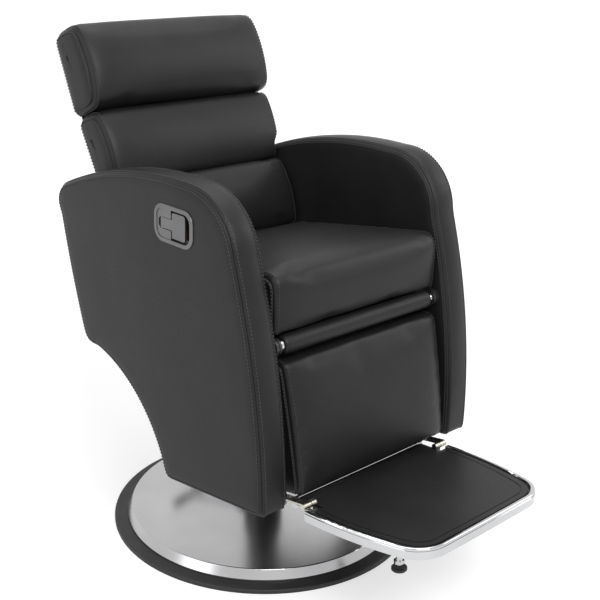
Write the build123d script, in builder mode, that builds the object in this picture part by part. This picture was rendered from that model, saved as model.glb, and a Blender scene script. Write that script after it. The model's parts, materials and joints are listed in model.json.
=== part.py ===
"""Reclining salon chair. Millimetres, +Z up, the chair faces -Y.

The origin lies on the floor under the pump column. Words used in names:
right is the side of the sitter's right hand, at -X, where the release handle is.
"""
import os
from math import atan2, cos, degrees, radians, sin

from build123d import *

os.makedirs("parts", exist_ok=True)

# Clearances shared by many pieces
running_gap = 0.06  # on the radius, between a pin and what turns on it
open_pivot_gap = 0.2  # on the radius, at the far end of each link bar
seat_gap = 0.3  # between pieces that lie against each other
overrun = 6.0  # how far a cutter stands out of what it cuts

# Round base
base_radius = 325.0
ring_width = 41.0
ring_height = 9.0
ring_ledge = 4.0
ring_round = 3.5
ring_show = 28.5  # width of the ring that shows round the plate
plate_thickness = 6.0
cover_skirt = 3.0
cover_rise = 18.6
bevel_width = 10.0
cover_wall = 1.5
cover_round = 3.0

# Hydraulic pump
flange_radius = 85.0
flange_thickness = 8.0
flange_bolt_reach = 68.0
flange_bolts = 4
flange_bolt_radius = 6.0
flange_bolt_head = 8.0
flange_head_radius = 10.0
reservoir_radius = 42.0
reservoir_height = 96.0
cylinder_radius = 36.0
pump_top = 300.0
guide_height = 22.0
guide_lip = 5.0
ram_radius = 25.0
bore_extra = 4.0
bore_floor = 30.0
ram_bottom = 69.0
ram_shoulder = 430.0
spigot_radius = 20.0
spigot_length = 48.0
washer_radius = 32.0
washer_thickness = 3.0
hub_radius = 34.0
collar_width = 14.0
collar_height = 9.0

# Pump pedal, which points to the rear, a little to the right
pedal_azimuth = 103.0
pedal_pin_reach = 52.0
pedal_pin_height = 72.0
pedal_pin_radius = 5.0
pedal_reach = 212.0
pedal_bar_height = 106.0
pedal_bar_radius = 7.0
pedal_bar_length = 112.0
pedal_sleeve_wall = 3.5
pedal_sleeve_length = 96.0
lever_width = 14.0
lever_depth = 16.0
yoke_wall = 7.0
yoke_radius = 12.0

# Seat frame of welded steel, and the two hinge lines
arm_gap = 443.8  # between the inner faces of the arms
side_plate = 6.0
swing_plate = 5.0
lane_gap = 1.6  # between plates that swing past each other
knee_y = -257.0
knee_z = 525.0
pivot_y = 205.0
pivot_z = 550.0
crank_length = 75.0
crank_angle = 45.0  # of each crank below the horizontal, at rest
boss_radius = 16.0
crank_end_radius = 11.0
link_end_radius = 10.0
pivot_pin_radius = 8.0
link_pin_radius = 5.0
link_head_radius = 8.0
link_head_height = 2.8
frame_floor = 481.0  # underside of the mounting plate, above the floor
mounting_thickness = 6.0
mounting_width = 260.0
mounting_length = 230.0
mount_bolt_radius = 5.0
mount_bolt_head = 7.0
mount_bolt_x = 95.0
mount_bolt_y = 85.0
tube_wall = 2.0
rail_width = 30.0
rail_x = 95.0
rail_front = -200.0
rail_rear = 98.0
rail_toe = 9.0
mount_bolt_grip = 7.0  # how far the bolts reach into the rails
cross_tube_width = 20.0
cross_tube_height = 20.0
front_tube_y = -190.0
rear_tube_y = 60.0

# Seat cushion and board
seat_front = -262.0
seat_rear = 136.0
seat_front_bottom = 547.0
seat_rear_bottom = 513.0
seat_front_top = 664.0
seat_rear_top = 597.0
seat_half_width = 219.6
seat_top_crown = 7.0
seat_front_crown = 6.0
seat_draw_in = 7.0
seat_foot_radius = 10.0
seat_rear_radius = 20.0
seat_nose_radius = 36.0
board_thickness = 12.0
board_margin = 14.0
apron_rear = -222.0
apron_thickness = 6.0
apron_half_width = 200.0
apron_gap = 2.5  # above the legrest pad

# Arms
arm_thickness = 67.9
arm_front = -315.0
arm_bottom = 189.0
arm_length = 643.0
arm_height = 608.0
arm_crown = 5.0
arm_edge_round = 7.0
core_thickness = 24.0
core_inset = 17.0
arm_bolt_radius = 4.0
arm_bolt_head_radius = 8.0
arm_bolt_head = 4.5
arm_bolt_length = 46.0
arm_bolt_places = [(-120.0, 500.0), (-40.0, 500.0), (40.0, 498.0), (110.0, 492.0)]

# Outline of an arm, seen from the side, as shares of its length and height.
# The first number of each pair runs from front to rear, the second from bottom to top.
arm_toe_share = (0.0, 0.064)
arm_sole_share = (0.443, 0.003)
arm_hollow_share = (0.6205, 0.265)
arm_heel_share = (0.812, 0.348)
arm_heel_corner_share = (0.861, 0.357)
arm_back_low_share = (0.877, 0.381)
arm_back_mid_share = (0.938, 0.577)
arm_back_top_share = (0.986, 0.775)
arm_shoulder_share = (0.999, 0.840)
arm_top_rear_share = (0.966, 0.877)
arm_top_mid_share = (0.645, 0.979)
arm_top_front_share = (0.316, 0.999)
arm_brow_share = (0.2115, 0.949)
arm_shin_top_share = (0.145, 0.826)
arm_shin_mid_share = (0.056, 0.496)

# Release handle in the outside of the right arm
bezel_length = 113.0
bezel_height = 72.0
bezel_y = -66.0
bezel_z = 719.0
bezel_corner = 25.0
bezel_lip = 3.5
bezel_round = 1.6
dish_margin = 6.0
dish_wall = 2.0
dish_depth = 9.0
dish_corner = 19.0
pocket_gap = 1.0
paddle_thickness = 4.0
paddle_stem_height = 20.0
paddle_head_height = 48.0
paddle_head_length = 38.0
paddle_pin_inset = 20.0  # from the rear end of the bezel
paddle_pin_radius = 2.0
paddle_barrel_radius = 4.2
paddle_reach = 70.0  # from the pin to the free end
finger_gap_length = 16.0
paddle_sink = 1.5  # outer side of the paddle, below the bezel's lip
paddle_corner = 5.0

# Backrest, drawn in a plane that leans back: t is rearwards, s is up along the back
back_foot_y = 139.0
back_foot_z = 594.0
back_lean_angle = 24.5
back_rear = 80.0
back_panel_thickness = 4.0
back_tube_width = 25.0
back_tube_depth = 12.0
back_tube_foot = -30.0
back_tube_top = 430.0
back_tube_mid = 190.0
back_board_foot = 10.0
back_board_top = 452.0
back_board_margin = 13.0
back_panel_inset = 5.0
lower_roll_foot = -1.0
lower_roll_top = 142.0
middle_roll_top = 298.0
head_roll_foot = 300.0
head_roll_top = 484.0
roll_gap = 1.0
lower_half_width = 218.5
middle_half_width = 228.0
head_half_width = 231.0
lower_crown = 16.0
middle_crown = 13.0
head_crown = 20.0
lower_front = -5.0
middle_front = 3.0
head_front = -13.0
roll_end_crown = 3.0
roll_draw_in = 9.0
roll_round = 20.0
head_round = 34.0
rear_round = 6.0

# Legrest, drawn in a plane that leans: t is rearwards, s is up along the panel
leg_foot_y = -312.0
leg_foot_z = 238.0
leg_lean_angle = 10.1
leg_top_gap = 15.7  # between the pad's top and the knee roll
leg_front = -12.0
leg_crown = 13.0
leg_rear = 45.0
leg_top_half_width = 208.0
leg_foot_half_width = 198.5
leg_draw_in = 11.0
leg_round = 20.0
leg_board_margin = 16.0
leg_tube = 16.0
leg_tube_top = 210.0
leg_tube_low = 40.0
leg_arm_end_radius = 11.0
leg_spine_x = 132.0
leg_spine_width = 25.0
leg_spine_depth = 5.0

# Knee roll
knee_tube_radius = 10.0
knee_roll_radius = 18.5
knee_roll_half_width = 199.0
knee_cap_radius = 12.0
knee_cap_width = 7.5
knee_cap_edge = 0.8

# Hinge of the footplate: a bracket of the legrest at each rear corner
hinge_y = -331.0
hinge_z = 227.0
hinge_bar_radius = 3.5
knuckle_radius = 6.5
bracket_x = 184.0
bracket_width = 19.0
bracket_thickness = 4.0
lug_width = 11.5
lug_gap = 1.5

# Footplate, drawn in a plane through the hinge that tips up towards the front.
# Places along it count rearwards from the hinge, and heights count from it.
foot_tilt_angle = 4.7
foot_rear = 50.0
foot_front_side = -270.0
foot_front = -271.5
foot_rear_half_width = 202.0
foot_half_width = 205.5
foot_front_half_width = 171.0
foot_widest = -60.0
foot_corner = 66.0
foot_top = -2.0
rim_height = 21.5
rim_width = 9.0
rim_round = 3.5
rim_groove = 1.2
rim_groove_drop = 5.2
tray_thickness = 6.0
tray_drop = 7.0
tray_lip_gap = 0.3
mat_thickness = 5.0
mat_margin = 3.0
mat_border = 14.0
mat_groove = 1.0
rib_width = 12.0
rib_height = 8.0
rib_x = 120.0
rib_front = -160.0
stem_y = -56.5
stem_radius = 6.5
stem_length = 159.0
stem_plate = 44.0
stem_plate_thickness = 8.0
stem_nut_radius = 11.0
stem_nut_height = 7.0
glide_radius = 16.0
glide_height = 9.0
glide_sole = 8.0  # rubber under the end of the stem
glide_edge = 2.0

# Smallest cosine that an outline's corner is moved by when the outline shrinks
inset_limit_share = 0.5

# Places worked out from the sizes above
plate_radius = base_radius - ring_show
leg_turn = radians(leg_lean_angle)
knee_rise = (knee_y - leg_foot_y) * sin(leg_turn) + (knee_z - leg_foot_z) * cos(leg_turn)
leg_height = knee_rise - knee_roll_radius - leg_top_gap
plate_top = ring_ledge + plate_thickness
cover_top = plate_top + cover_skirt + cover_rise
spigot_top = ram_shoulder + spigot_length
hub_foot = ram_shoulder + washer_thickness
frame_top = frame_floor + mounting_thickness
side_plate_outer = arm_gap / 2 - seat_gap
side_plate_inner = side_plate_outer - side_plate
swing_outer = side_plate_inner - lane_gap
swing_inner = swing_outer - swing_plate
link_outer = swing_inner - lane_gap
link_inner = link_outer - swing_plate
crank_dy = crank_length * cos(radians(crank_angle))
crank_dz = -crank_length * sin(radians(crank_angle))
seat_slope = (seat_rear_bottom - seat_front_bottom) / (seat_rear - seat_front)
seat_tilt = degrees(atan2(seat_front_bottom - seat_rear_bottom, seat_rear - seat_front))
arm_inner = arm_gap / 2
arm_outer = arm_inner + arm_thickness
core_inner = arm_inner + (arm_thickness - core_thickness) / 2
core_outer = core_inner + core_thickness
middle_roll_foot = lower_roll_top + roll_gap
bezel_rear = bezel_y + bezel_length / 2
paddle_pin_y = bezel_rear - paddle_pin_inset
paddle_pin_x = arm_outer + bezel_lip - paddle_sink - paddle_thickness

# Share of the half width, and how much of a pad's crown is left there
crown_shares = [(0.0, 1.0), (0.5, 0.94), (0.8, 0.7), (0.94, 0.34), (1.0, 0.0)]
mirrored_shares = [(-width, crown) for width, crown in reversed(crown_shares)] + crown_shares[1:]
# Share of an arm's thickness, and how much of its edge crown or round is there
arm_shares = [(0.0, -1.0), (0.08, -0.3), (0.22, 0.1), (0.5, 1.0), (0.78, 0.1), (0.92, -0.3), (1.0, -1.0)]


def side_plane(x, y=0.0, z=0.0, lean=0.0):
    """Plane across the chair at x. Its first axis runs rearwards, its second up, tipped by lean."""
    turn = radians(lean)
    return Plane(origin=(x, y, z), x_dir=(0, cos(turn), -sin(turn)), z_dir=(1, 0, 0))


def back_plane(x):
    """Plane of the backrest's outline at x, with t rearwards and s up along the back."""
    return side_plane(x, back_foot_y, back_foot_z, back_lean_angle)


def leg_plane(x):
    """Plane of the legrest's outline at x, with t rearwards and s up along the panel."""
    return side_plane(x, leg_foot_y, leg_foot_z, leg_lean_angle)


def flared_plane(plane, foot, rise, spread):
    """The plane turned about its first axis, so that its second axis leans out by spread over rise."""
    up = (plane.y_dir * rise + plane.z_dir * spread).normalized()
    return Plane(origin=plane.origin + plane.y_dir * foot, x_dir=plane.x_dir, z_dir=plane.x_dir.cross(up))


def leg_local(y, z):
    """Place in the legrest's t and s of a point in Y and Z."""
    dy, dz = y - leg_foot_y, z - leg_foot_z
    return (dy * cos(leg_turn) - dz * sin(leg_turn), dy * sin(leg_turn) + dz * cos(leg_turn))


def leg_place(t, s):
    """Place in Y and Z of a point of the legrest's plane."""
    return (
        leg_foot_y + t * cos(leg_turn) + s * sin(leg_turn),
        leg_foot_z - t * sin(leg_turn) + s * cos(leg_turn),
    )


def seat_underside(y):
    """Height of the seat cushion's underside at y."""
    return seat_front_bottom + (y - seat_front) * seat_slope


def rail_top(y):
    """Height of a rail's top at y, just below the cross tubes."""
    return seat_underside(y) - 2 * seat_gap - cross_tube_height / cos(radians(seat_tilt))


def pad_outline(section, corners, bulges, radii):
    """Outline of a pad: a straight or bowed side after each corner, and rounded corners."""
    points = [Vector(first, second) for first, second in corners]
    with BuildLine() as sides:
        for start, end, bulge in zip(points, points[1:] + points[:1], bulges):
            side = end - start
            if bulge == 0:
                Line(start, end)
            else:
                outward = Vector(side.Y, -side.X).normalized()
                ThreePointArc(start, (start + end) * 0.5 + outward * bulge, end)
    make_face(sides.edges())
    for corner, radius in zip(points, radii):
        fillet(section.vertices().sort_by_distance(corner)[0], radius)


def roll_section(plane, front, top, crown, crown_share, edge_radius, top_crown):
    """One section of a back roll, from its flat rear to its crowned front."""
    inset = roll_draw_in * (1 - crown_share) ** 2
    corners = [
        (front + inset, inset),
        (back_rear, inset),
        (back_rear, top - inset),
        (front + inset, top - inset),
    ]
    bulges = [0.0, 0.0, top_crown * crown_share, crown * crown_share + seat_gap]
    with BuildSketch(plane) as section:
        pad_outline(section, corners, bulges, [edge_radius, rear_round, rear_round, edge_radius])
    return section.sketch


def arm_points(inset):
    """Points of an arm's outline, moved inwards by inset, counterclockwise from the toe."""
    shares = [
        arm_toe_share, arm_sole_share, arm_hollow_share, arm_heel_share, arm_heel_corner_share,
        arm_back_low_share, arm_back_mid_share, arm_back_top_share, arm_shoulder_share,
        arm_top_rear_share, arm_top_mid_share, arm_top_front_share, arm_brow_share,
        arm_shin_top_share, arm_shin_mid_share,
    ]
    points = [Vector(arm_front + arm_length * y, arm_bottom + arm_height * z) for y, z in shares]
    moved = []
    for index, point in enumerate(points):
        before, after = points[index - 1], points[(index + 1) % len(points)]
        run_in, run_out = (point - before).normalized(), (after - point).normalized()
        along = run_in + run_out
        inward = Vector(-along.Y, along.X).normalized()
        slope = max(inward.dot(Vector(-run_in.Y, run_in.X)), inset_limit_share)
        moved.append(point + inward * (inset / slope))
    return moved


def arm_section(plane, inset):
    """Closed face of an arm's outline, moved inwards by inset."""
    toe, sole, hollow, heel, corner, low, mid, high, *upper = arm_points(inset)
    shoulder, rear, top, front, brow, shin, knee = upper
    with BuildSketch(plane) as outline:
        with BuildLine():
            Line(toe, sole)
            ThreePointArc(sole, hollow, heel)
            ThreePointArc(heel, corner, low)
            ThreePointArc(low, mid, high)
            ThreePointArc(high, shoulder, rear)
            ThreePointArc(rear, top, front)
            ThreePointArc(front, brow, shin)
            ThreePointArc(shin, knee, toe)
        make_face()
    return outline.sketch


def both_sides(lane_inner, lane_outer):
    """Planes of the two plates that lie between two distances from the middle of the chair."""
    return [(side_plane(lane_inner), 1), (side_plane(-lane_inner), -1)], lane_outer - lane_inner


def pin_pair(radius, inner, outer, y, z):
    """Two pins along X, one on each side."""
    sides, length = both_sides(inner, outer)
    for plane, direction in sides:
        with BuildSketch(plane) as pin_end:
            with Locations((y, z)):
                Circle(radius)
        extrude(pin_end.sketch, amount=length * direction)


# Base plate: the weight that keeps the chair upright
with BuildPart() as base_plate:
    with BuildSketch(Plane.XY.offset(ring_ledge)):
        Circle(plate_radius)
        with PolarLocations(flange_bolt_reach, flange_bolts, start_angle=pedal_azimuth - 45):
            Circle(flange_bolt_radius, mode=Mode.SUBTRACT)
    extrude(amount=plate_thickness)
base_plate.part.label = "base_plate"
export_step(base_plate.part, "parts/base_plate.step")

# Rubber ring under and round the base plate
with BuildPart() as base_ring:
    with BuildSketch(Plane.XZ) as ring_section:
        with BuildLine():
            Polyline(
                (base_radius - ring_width, 0),
                (base_radius, 0),
                (base_radius, ring_height),
                (plate_radius + seat_gap, ring_height),
                (plate_radius + seat_gap, ring_ledge),
                (base_radius - ring_width, ring_ledge),
                close=True,
            )
        make_face()
        outer_corner = ring_section.vertices().sort_by_distance((base_radius, ring_height))[0]
        fillet(outer_corner, ring_round)
    revolve(axis=Axis.Z)
base_ring.part.label = "base_ring"
export_step(base_ring.part, "parts/base_ring.step")

# Spun stainless cover with a bevelled rim
cover_hole = reservoir_radius + seat_gap
ridge_radius = plate_radius - bevel_width
with BuildPart() as base_cover:
    with BuildSketch(Plane.XZ) as cover_section:
        with BuildLine():
            Polyline(
                (cover_hole, cover_top),
                (ridge_radius, cover_top),
                (plate_radius, plate_top + cover_skirt),
                (plate_radius, plate_top),
                (plate_radius - cover_wall, plate_top),
                (plate_radius - cover_wall, plate_top + cover_skirt),
                (ridge_radius - cover_wall, cover_top - cover_wall),
                (cover_hole, cover_top - cover_wall),
                close=True,
            )
        make_face()
        ridge = cover_section.vertices().sort_by_distance((ridge_radius, cover_top))[0]
        fillet(ridge, cover_round)
    revolve(axis=Axis.Z)
base_cover.part.label = "base_cover"
export_step(base_cover.part, "parts/base_cover.step")

# Pump housing: flange, reservoir, cylinder with its bore, and the yoke of the pedal
pedal_turn = radians(pedal_azimuth)
pedal_plane = Plane(
    origin=(0, 0, 0),
    x_dir=(cos(pedal_turn), sin(pedal_turn), 0),
    z_dir=(sin(pedal_turn), -cos(pedal_turn), 0),
)
bore_radius = ram_radius + bore_extra
with BuildPart() as pump_housing:
    with BuildSketch(Plane.XY.offset(plate_top)):
        Circle(flange_radius)
        with PolarLocations(flange_bolt_reach, flange_bolts, start_angle=pedal_azimuth - 45):
            Circle(flange_bolt_radius + running_gap, mode=Mode.SUBTRACT)
    extrude(amount=flange_thickness)
    with BuildSketch(Plane.XY.offset(plate_top + flange_thickness)):
        Circle(reservoir_radius)
    extrude(amount=reservoir_height)
    with BuildSketch(Plane.XY.offset(plate_top + flange_thickness + reservoir_height)):
        Circle(cylinder_radius)
    extrude(amount=pump_top - plate_top - flange_thickness - reservoir_height)
    for direction in (1, -1):
        with BuildSketch(pedal_plane.offset(direction * (lever_width / 2 + seat_gap))):
            with Locations((pedal_pin_reach, pedal_pin_height)):
                Circle(yoke_radius)
            with Locations(((pedal_pin_reach + cylinder_radius) / 2, pedal_pin_height)):
                Rectangle(pedal_pin_reach - cylinder_radius, 2 * yoke_radius)
        extrude(amount=direction * yoke_wall)
    with BuildSketch(pedal_plane):
        with Locations((pedal_pin_reach, pedal_pin_height)):
            Circle(pedal_pin_radius + running_gap)
    extrude(amount=lever_width + yoke_wall + overrun, both=True, mode=Mode.SUBTRACT)
    with BuildSketch(Plane.XY.offset(bore_floor)):
        Circle(bore_radius)
    extrude(amount=pump_top - bore_floor + overrun, mode=Mode.SUBTRACT)
pump_housing.part.label = "pump_housing"
export_step(pump_housing.part, "parts/pump_housing.step")

# Guide bush in the top of the cylinder, in which the ram slides
with BuildPart() as pump_guide:
    with BuildSketch(Plane.XY.offset(pump_top - guide_height)):
        Circle(bore_radius - running_gap)
        Circle(ram_radius + running_gap, mode=Mode.SUBTRACT)
    extrude(amount=guide_height)
    with BuildSketch(Plane.XY.offset(pump_top)):
        Circle(cylinder_radius)
        Circle(ram_radius + running_gap, mode=Mode.SUBTRACT)
    extrude(amount=guide_lip)
    lip_edge = pump_guide.edges().filter_by(GeomType.CIRCLE).group_by(Axis.Z)[-1].sort_by(SortBy.RADIUS)[-1]
    chamfer(lip_edge, guide_lip / 3)
pump_guide.part.label = "pump_guide"
export_step(pump_guide.part, "parts/pump_guide.step")

# Bright collar that covers the cover's hole round the pump
with BuildPart() as pump_collar:
    with BuildSketch(Plane.XY.offset(cover_top)):
        Circle(reservoir_radius + collar_width)
        Circle(reservoir_radius + seat_gap, mode=Mode.SUBTRACT)
    extrude(amount=collar_height)
    collar_edge = pump_collar.edges().group_by(Axis.Z)[-1].sort_by(SortBy.RADIUS)[-1]
    chamfer(collar_edge, collar_height / 3)
pump_collar.part.label = "pump_collar"
export_step(pump_collar.part, "parts/pump_collar.step")

# Bolts that hold the pump flange to the base plate
with BuildPart() as base_bolts:
    with BuildSketch(Plane.XY.offset(ring_ledge)):
        with PolarLocations(flange_bolt_reach, flange_bolts, start_angle=pedal_azimuth - 45):
            Circle(flange_bolt_radius - running_gap)
    extrude(amount=plate_thickness + flange_thickness)
    with BuildSketch(Plane.XY.offset(plate_top + flange_thickness)):
        with PolarLocations(flange_bolt_reach, flange_bolts, start_angle=pedal_azimuth - 45):
            RegularPolygon(flange_head_radius, 6)
    extrude(amount=flange_bolt_head)
base_bolts.part.label = "base_bolts"
export_step(base_bolts.part, "parts/base_bolts.step")

# Pin of the pedal, in the yoke
with BuildPart() as pedal_pin:
    with BuildSketch(pedal_plane):
        with Locations((pedal_pin_reach, pedal_pin_height)):
            Circle(pedal_pin_radius)
    extrude(amount=lever_width / 2 + seat_gap + yoke_wall + seat_gap, both=True)
pedal_pin.part.label = "pedal_pin"
export_step(pedal_pin.part, "parts/pedal_pin.step")

# Ram of the pump, with the shoulder and spigot that the seat turns on
with BuildPart() as pump_ram:
    with BuildSketch(Plane.XY.offset(ram_bottom)):
        Circle(ram_radius)
    extrude(amount=ram_shoulder - ram_bottom)
    with BuildSketch(Plane.XY.offset(ram_shoulder)):
        Circle(spigot_radius)
    extrude(amount=spigot_length)
    chamfer(pump_ram.edges().group_by(Axis.Z)[-1], spigot_radius / 10)
pump_ram.part.label = "pump_ram"
export_step(pump_ram.part, "parts/pump_ram.step")

# Thrust washer under the hub
with BuildPart() as thrust_washer:
    with BuildSketch(Plane.XY.offset(ram_shoulder)):
        Circle(washer_radius)
        Circle(spigot_radius + running_gap, mode=Mode.SUBTRACT)
    extrude(amount=washer_thickness)
thrust_washer.part.label = "thrust_washer"
export_step(thrust_washer.part, "parts/thrust_washer.step")

# Pedal: eye, lever and the bar across its end
with BuildPart() as pedal_lever:
    with BuildSketch(pedal_plane):
        make_hull(
            Edge.make_circle(lever_depth / 2, Plane((pedal_pin_reach, pedal_pin_height, 0))).edges()
            + Edge.make_circle(lever_depth / 3, Plane((pedal_reach, pedal_bar_height, 0))).edges()
        )
        with Locations((pedal_pin_reach, pedal_pin_height)):
            Circle(pedal_pin_radius + running_gap, mode=Mode.SUBTRACT)
    extrude(amount=lever_width / 2, both=True)
    with BuildSketch(pedal_plane):
        with Locations((pedal_reach, pedal_bar_height)):
            Circle(pedal_bar_radius)
    extrude(amount=pedal_bar_length / 2, both=True)
pedal_lever.part.label = "pedal_lever"
export_step(pedal_lever.part, "parts/pedal_lever.step")

# Rubber sleeves on the pedal bar, one each side of the lever
with BuildPart() as pedal_sleeves:
    for direction in (1, -1):
        with BuildSketch(pedal_plane.offset(direction * (lever_width / 2 + seat_gap))):
            with Locations((pedal_reach, pedal_bar_height)):
                Circle(pedal_bar_radius + pedal_sleeve_wall)
                Circle(pedal_bar_radius + running_gap, mode=Mode.SUBTRACT)
        extrude(amount=direction * (pedal_sleeve_length - lever_width) / 2)
pedal_sleeves.part.label = "pedal_sleeves"
export_step(pedal_sleeves.part, "parts/pedal_sleeves.step")

# Hub that turns on the ram's spigot
with BuildPart() as swivel_hub:
    with BuildSketch(Plane.XY.offset(hub_foot)):
        Circle(hub_radius)
        Circle(spigot_radius + running_gap, mode=Mode.SUBTRACT)
    extrude(amount=frame_floor - hub_foot)
swivel_hub.part.label = "swivel_hub"
export_step(swivel_hub.part, "parts/swivel_hub.step")

# Mounting plate on the hub
mount_spots = [(x, y) for x in (-mount_bolt_x, mount_bolt_x) for y in (-mount_bolt_y, mount_bolt_y)]
with BuildPart() as mounting_plate:
    with BuildSketch(Plane.XY.offset(frame_floor)) as mounting_section:
        Rectangle(mounting_width, mounting_length)
        fillet(mounting_section.vertices(), mount_bolt_radius * 3)
        with Locations(*mount_spots):
            Circle(mount_bolt_radius + running_gap, mode=Mode.SUBTRACT)
    extrude(amount=mounting_thickness)
mounting_plate.part.label = "mounting_plate"
export_step(mounting_plate.part, "parts/mounting_plate.step")

# Bolts from below through the mounting plate into the frame's rails
bolt_reach = mounting_thickness + mount_bolt_grip
with BuildPart() as mount_bolts:
    with BuildSketch(Plane.XY.offset(frame_floor)):
        with Locations(*mount_spots):
            Circle(mount_bolt_radius)
    extrude(amount=bolt_reach)
    with BuildSketch(Plane.XY.offset(frame_floor)):
        with Locations(*mount_spots):
            RegularPolygon(mount_bolt_radius * 2, 6)
    extrude(amount=-mount_bolt_head)
mount_bolts.part.label = "mount_bolts"
export_step(mount_bolts.part, "parts/mount_bolts.step")


def side_plate_outline():
    """Outline of a side plate: a hull round both hinge bosses and the foot, cut under the seat."""
    make_hull(
        Edge.make_circle(boss_radius, Plane((knee_y, knee_z, 0))).edges()
        + Edge.make_circle(boss_radius, Plane((pivot_y, pivot_z, 0))).edges()
        + Edge.make_line((front_tube_y, frame_top, 0), (pivot_y - boss_radius, frame_top, 0)).edges()
    )
    with BuildLine() as seat_space:
        Polyline(
            (seat_front - overrun, seat_underside(seat_front - overrun) - seat_gap),
            (seat_rear + overrun, seat_underside(seat_rear + overrun) - seat_gap),
            (seat_rear + overrun, seat_front_top),
            (seat_front - overrun, seat_front_top),
            close=True,
        )
    make_face(seat_space.edges(), mode=Mode.SUBTRACT)
    with Locations((knee_y, knee_z)):
        Circle(knee_tube_radius + running_gap, mode=Mode.SUBTRACT)
    with Locations((pivot_y, pivot_z)):
        Circle(pivot_pin_radius + running_gap, mode=Mode.SUBTRACT)
    with Locations(*arm_bolt_places):
        Circle(arm_bolt_radius + running_gap, mode=Mode.SUBTRACT)


# Side plates of the welded seat frame
with BuildPart() as seat_side_plates:
    sides, thickness = both_sides(side_plate_inner, side_plate_outer)
    for plane, direction in sides:
        with BuildSketch(plane):
            side_plate_outline()
        extrude(amount=thickness * direction)
seat_side_plates.part.label = "seat_side_plates"
export_step(seat_side_plates.part, "parts/seat_side_plates.step")

# Cross tubes welded between the side plates
with BuildPart() as seat_cross_tubes:
    for tube_y in (front_tube_y, rear_tube_y):
        tube_top = seat_underside(tube_y) - seat_gap
        with BuildSketch(side_plane(0, tube_y, tube_top, seat_tilt)):
            with Locations((0, -cross_tube_height / 2)):
                Rectangle(cross_tube_width, cross_tube_height)
                bore_height = cross_tube_height - 2 * tube_wall
                Rectangle(cross_tube_width - 2 * tube_wall, bore_height, mode=Mode.SUBTRACT)
        extrude(amount=side_plate_inner, both=True)
seat_cross_tubes.part.label = "seat_cross_tubes"
export_step(seat_cross_tubes.part, "parts/seat_cross_tubes.step")

# Rails that carry the cross tubes and are bolted to the mounting plate
with BuildPart() as seat_rails:
    for rail_side in (-rail_x, rail_x):
        with BuildSketch(side_plane(rail_side)):
            with BuildLine():
                Polyline(
                    (rail_front, rail_top(rail_front)),
                    (rail_front, rail_top(rail_front) - rail_toe),
                    (-mounting_length / 2, frame_top),
                    (rail_rear, frame_top),
                    (rail_rear, rail_top(rail_rear)),
                    close=True,
                )
            make_face()
        extrude(amount=rail_width / 2, both=True)
    with BuildSketch(Plane.XY.offset(frame_top)):
        with Locations(*mount_spots):
            Circle(mount_bolt_radius + running_gap)
    extrude(amount=mount_bolt_grip + seat_gap, mode=Mode.SUBTRACT)
seat_rails.part.label = "seat_rails"
export_step(seat_rails.part, "parts/seat_rails.step")


def board_frame(clearance):
    """Outline in side view of the seat board, grown by clearance."""
    front, rear = seat_front + board_margin - clearance, seat_rear - board_margin + clearance
    rise = board_thickness + clearance
    with BuildLine() as board_side:
        Polyline(
            (front, seat_underside(front)),
            (rear, seat_underside(rear)),
            (rear, seat_underside(rear) + rise),
            (front, seat_underside(front) + rise),
            close=True,
        )
    make_face(board_side.edges())


# Plywood seat board, let into the underside of the cushion
board_half_width = seat_half_width - board_margin
with BuildPart() as seat_board:
    with BuildSketch(side_plane(0)):
        board_frame(0)
    extrude(amount=board_half_width, both=True)
seat_board.part.label = "seat_board"
export_step(seat_board.part, "parts/seat_board.step")

# Apron board that hangs from the seat board and closes the view behind the knee roll
apron_front = apron_rear - apron_thickness
apron_foot = leg_place(leg_rear, leg_height)[1] + apron_gap
with BuildPart() as seat_apron:
    with BuildSketch(side_plane(0)):
        with BuildLine():
            Polyline(
                (apron_front, apron_foot),
                (apron_rear, apron_foot),
                (apron_rear, seat_underside(apron_rear) - seat_gap),
                (apron_front, seat_underside(apron_front) - seat_gap),
                close=True,
            )
        make_face()
    extrude(amount=apron_half_width, both=True)
seat_apron.part.label = "seat_apron"
export_step(seat_apron.part, "parts/seat_apron.step")

# Seat cushion: crowned top and front, drawn in at both sides
with BuildPart() as seat_cushion:
    for width_share, crown_share in mirrored_shares:
        inset = seat_draw_in * (1 - crown_share) ** 2
        with BuildSketch(side_plane(seat_half_width * width_share)) as section:
            pad_outline(
                section,
                [
                    (seat_front + inset, seat_front_bottom),
                    (seat_rear, seat_rear_bottom),
                    (seat_rear, seat_rear_top - inset),
                    (seat_front + inset, seat_front_top - inset),
                ],
                [
                    0.0,
                    0.0,
                    seat_top_crown * crown_share + seat_gap,
                    seat_front_crown * crown_share + seat_gap,
                ],
                [seat_foot_radius, rear_round, seat_rear_radius, seat_nose_radius],
            )
    loft(ruled=True)
    with BuildSketch(side_plane(0)):
        board_frame(seat_gap)
    extrude(amount=board_half_width + seat_gap, both=True, mode=Mode.SUBTRACT)
seat_cushion.part.label = "seat_cushion"
export_step(seat_cushion.part, "parts/seat_cushion.step")


def arm_pad(side):
    """Padded arm: crowned boxing round its edge, a cavity for its core and holes for its bolts."""
    sections = []
    for place_share, edge_share in arm_shares:
        inset = -arm_crown * edge_share if edge_share > 0 else -arm_edge_round * edge_share
        sections.append(arm_section(side_plane(side * (arm_inner + arm_thickness * place_share)), inset))
    loft(sections, ruled=True)
    cavity = arm_section(side_plane(side * (core_inner - seat_gap)), core_inset - seat_gap)
    extrude(cavity, amount=side * (core_thickness + 2 * seat_gap), mode=Mode.SUBTRACT)
    with BuildSketch(side_plane(side * (arm_inner - overrun))) as holes:
        with Locations(*arm_bolt_places):
            Circle(arm_bolt_radius + seat_gap)
    extrude(holes.sketch, amount=side * (core_inner - arm_inner + overrun), mode=Mode.SUBTRACT)


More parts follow.
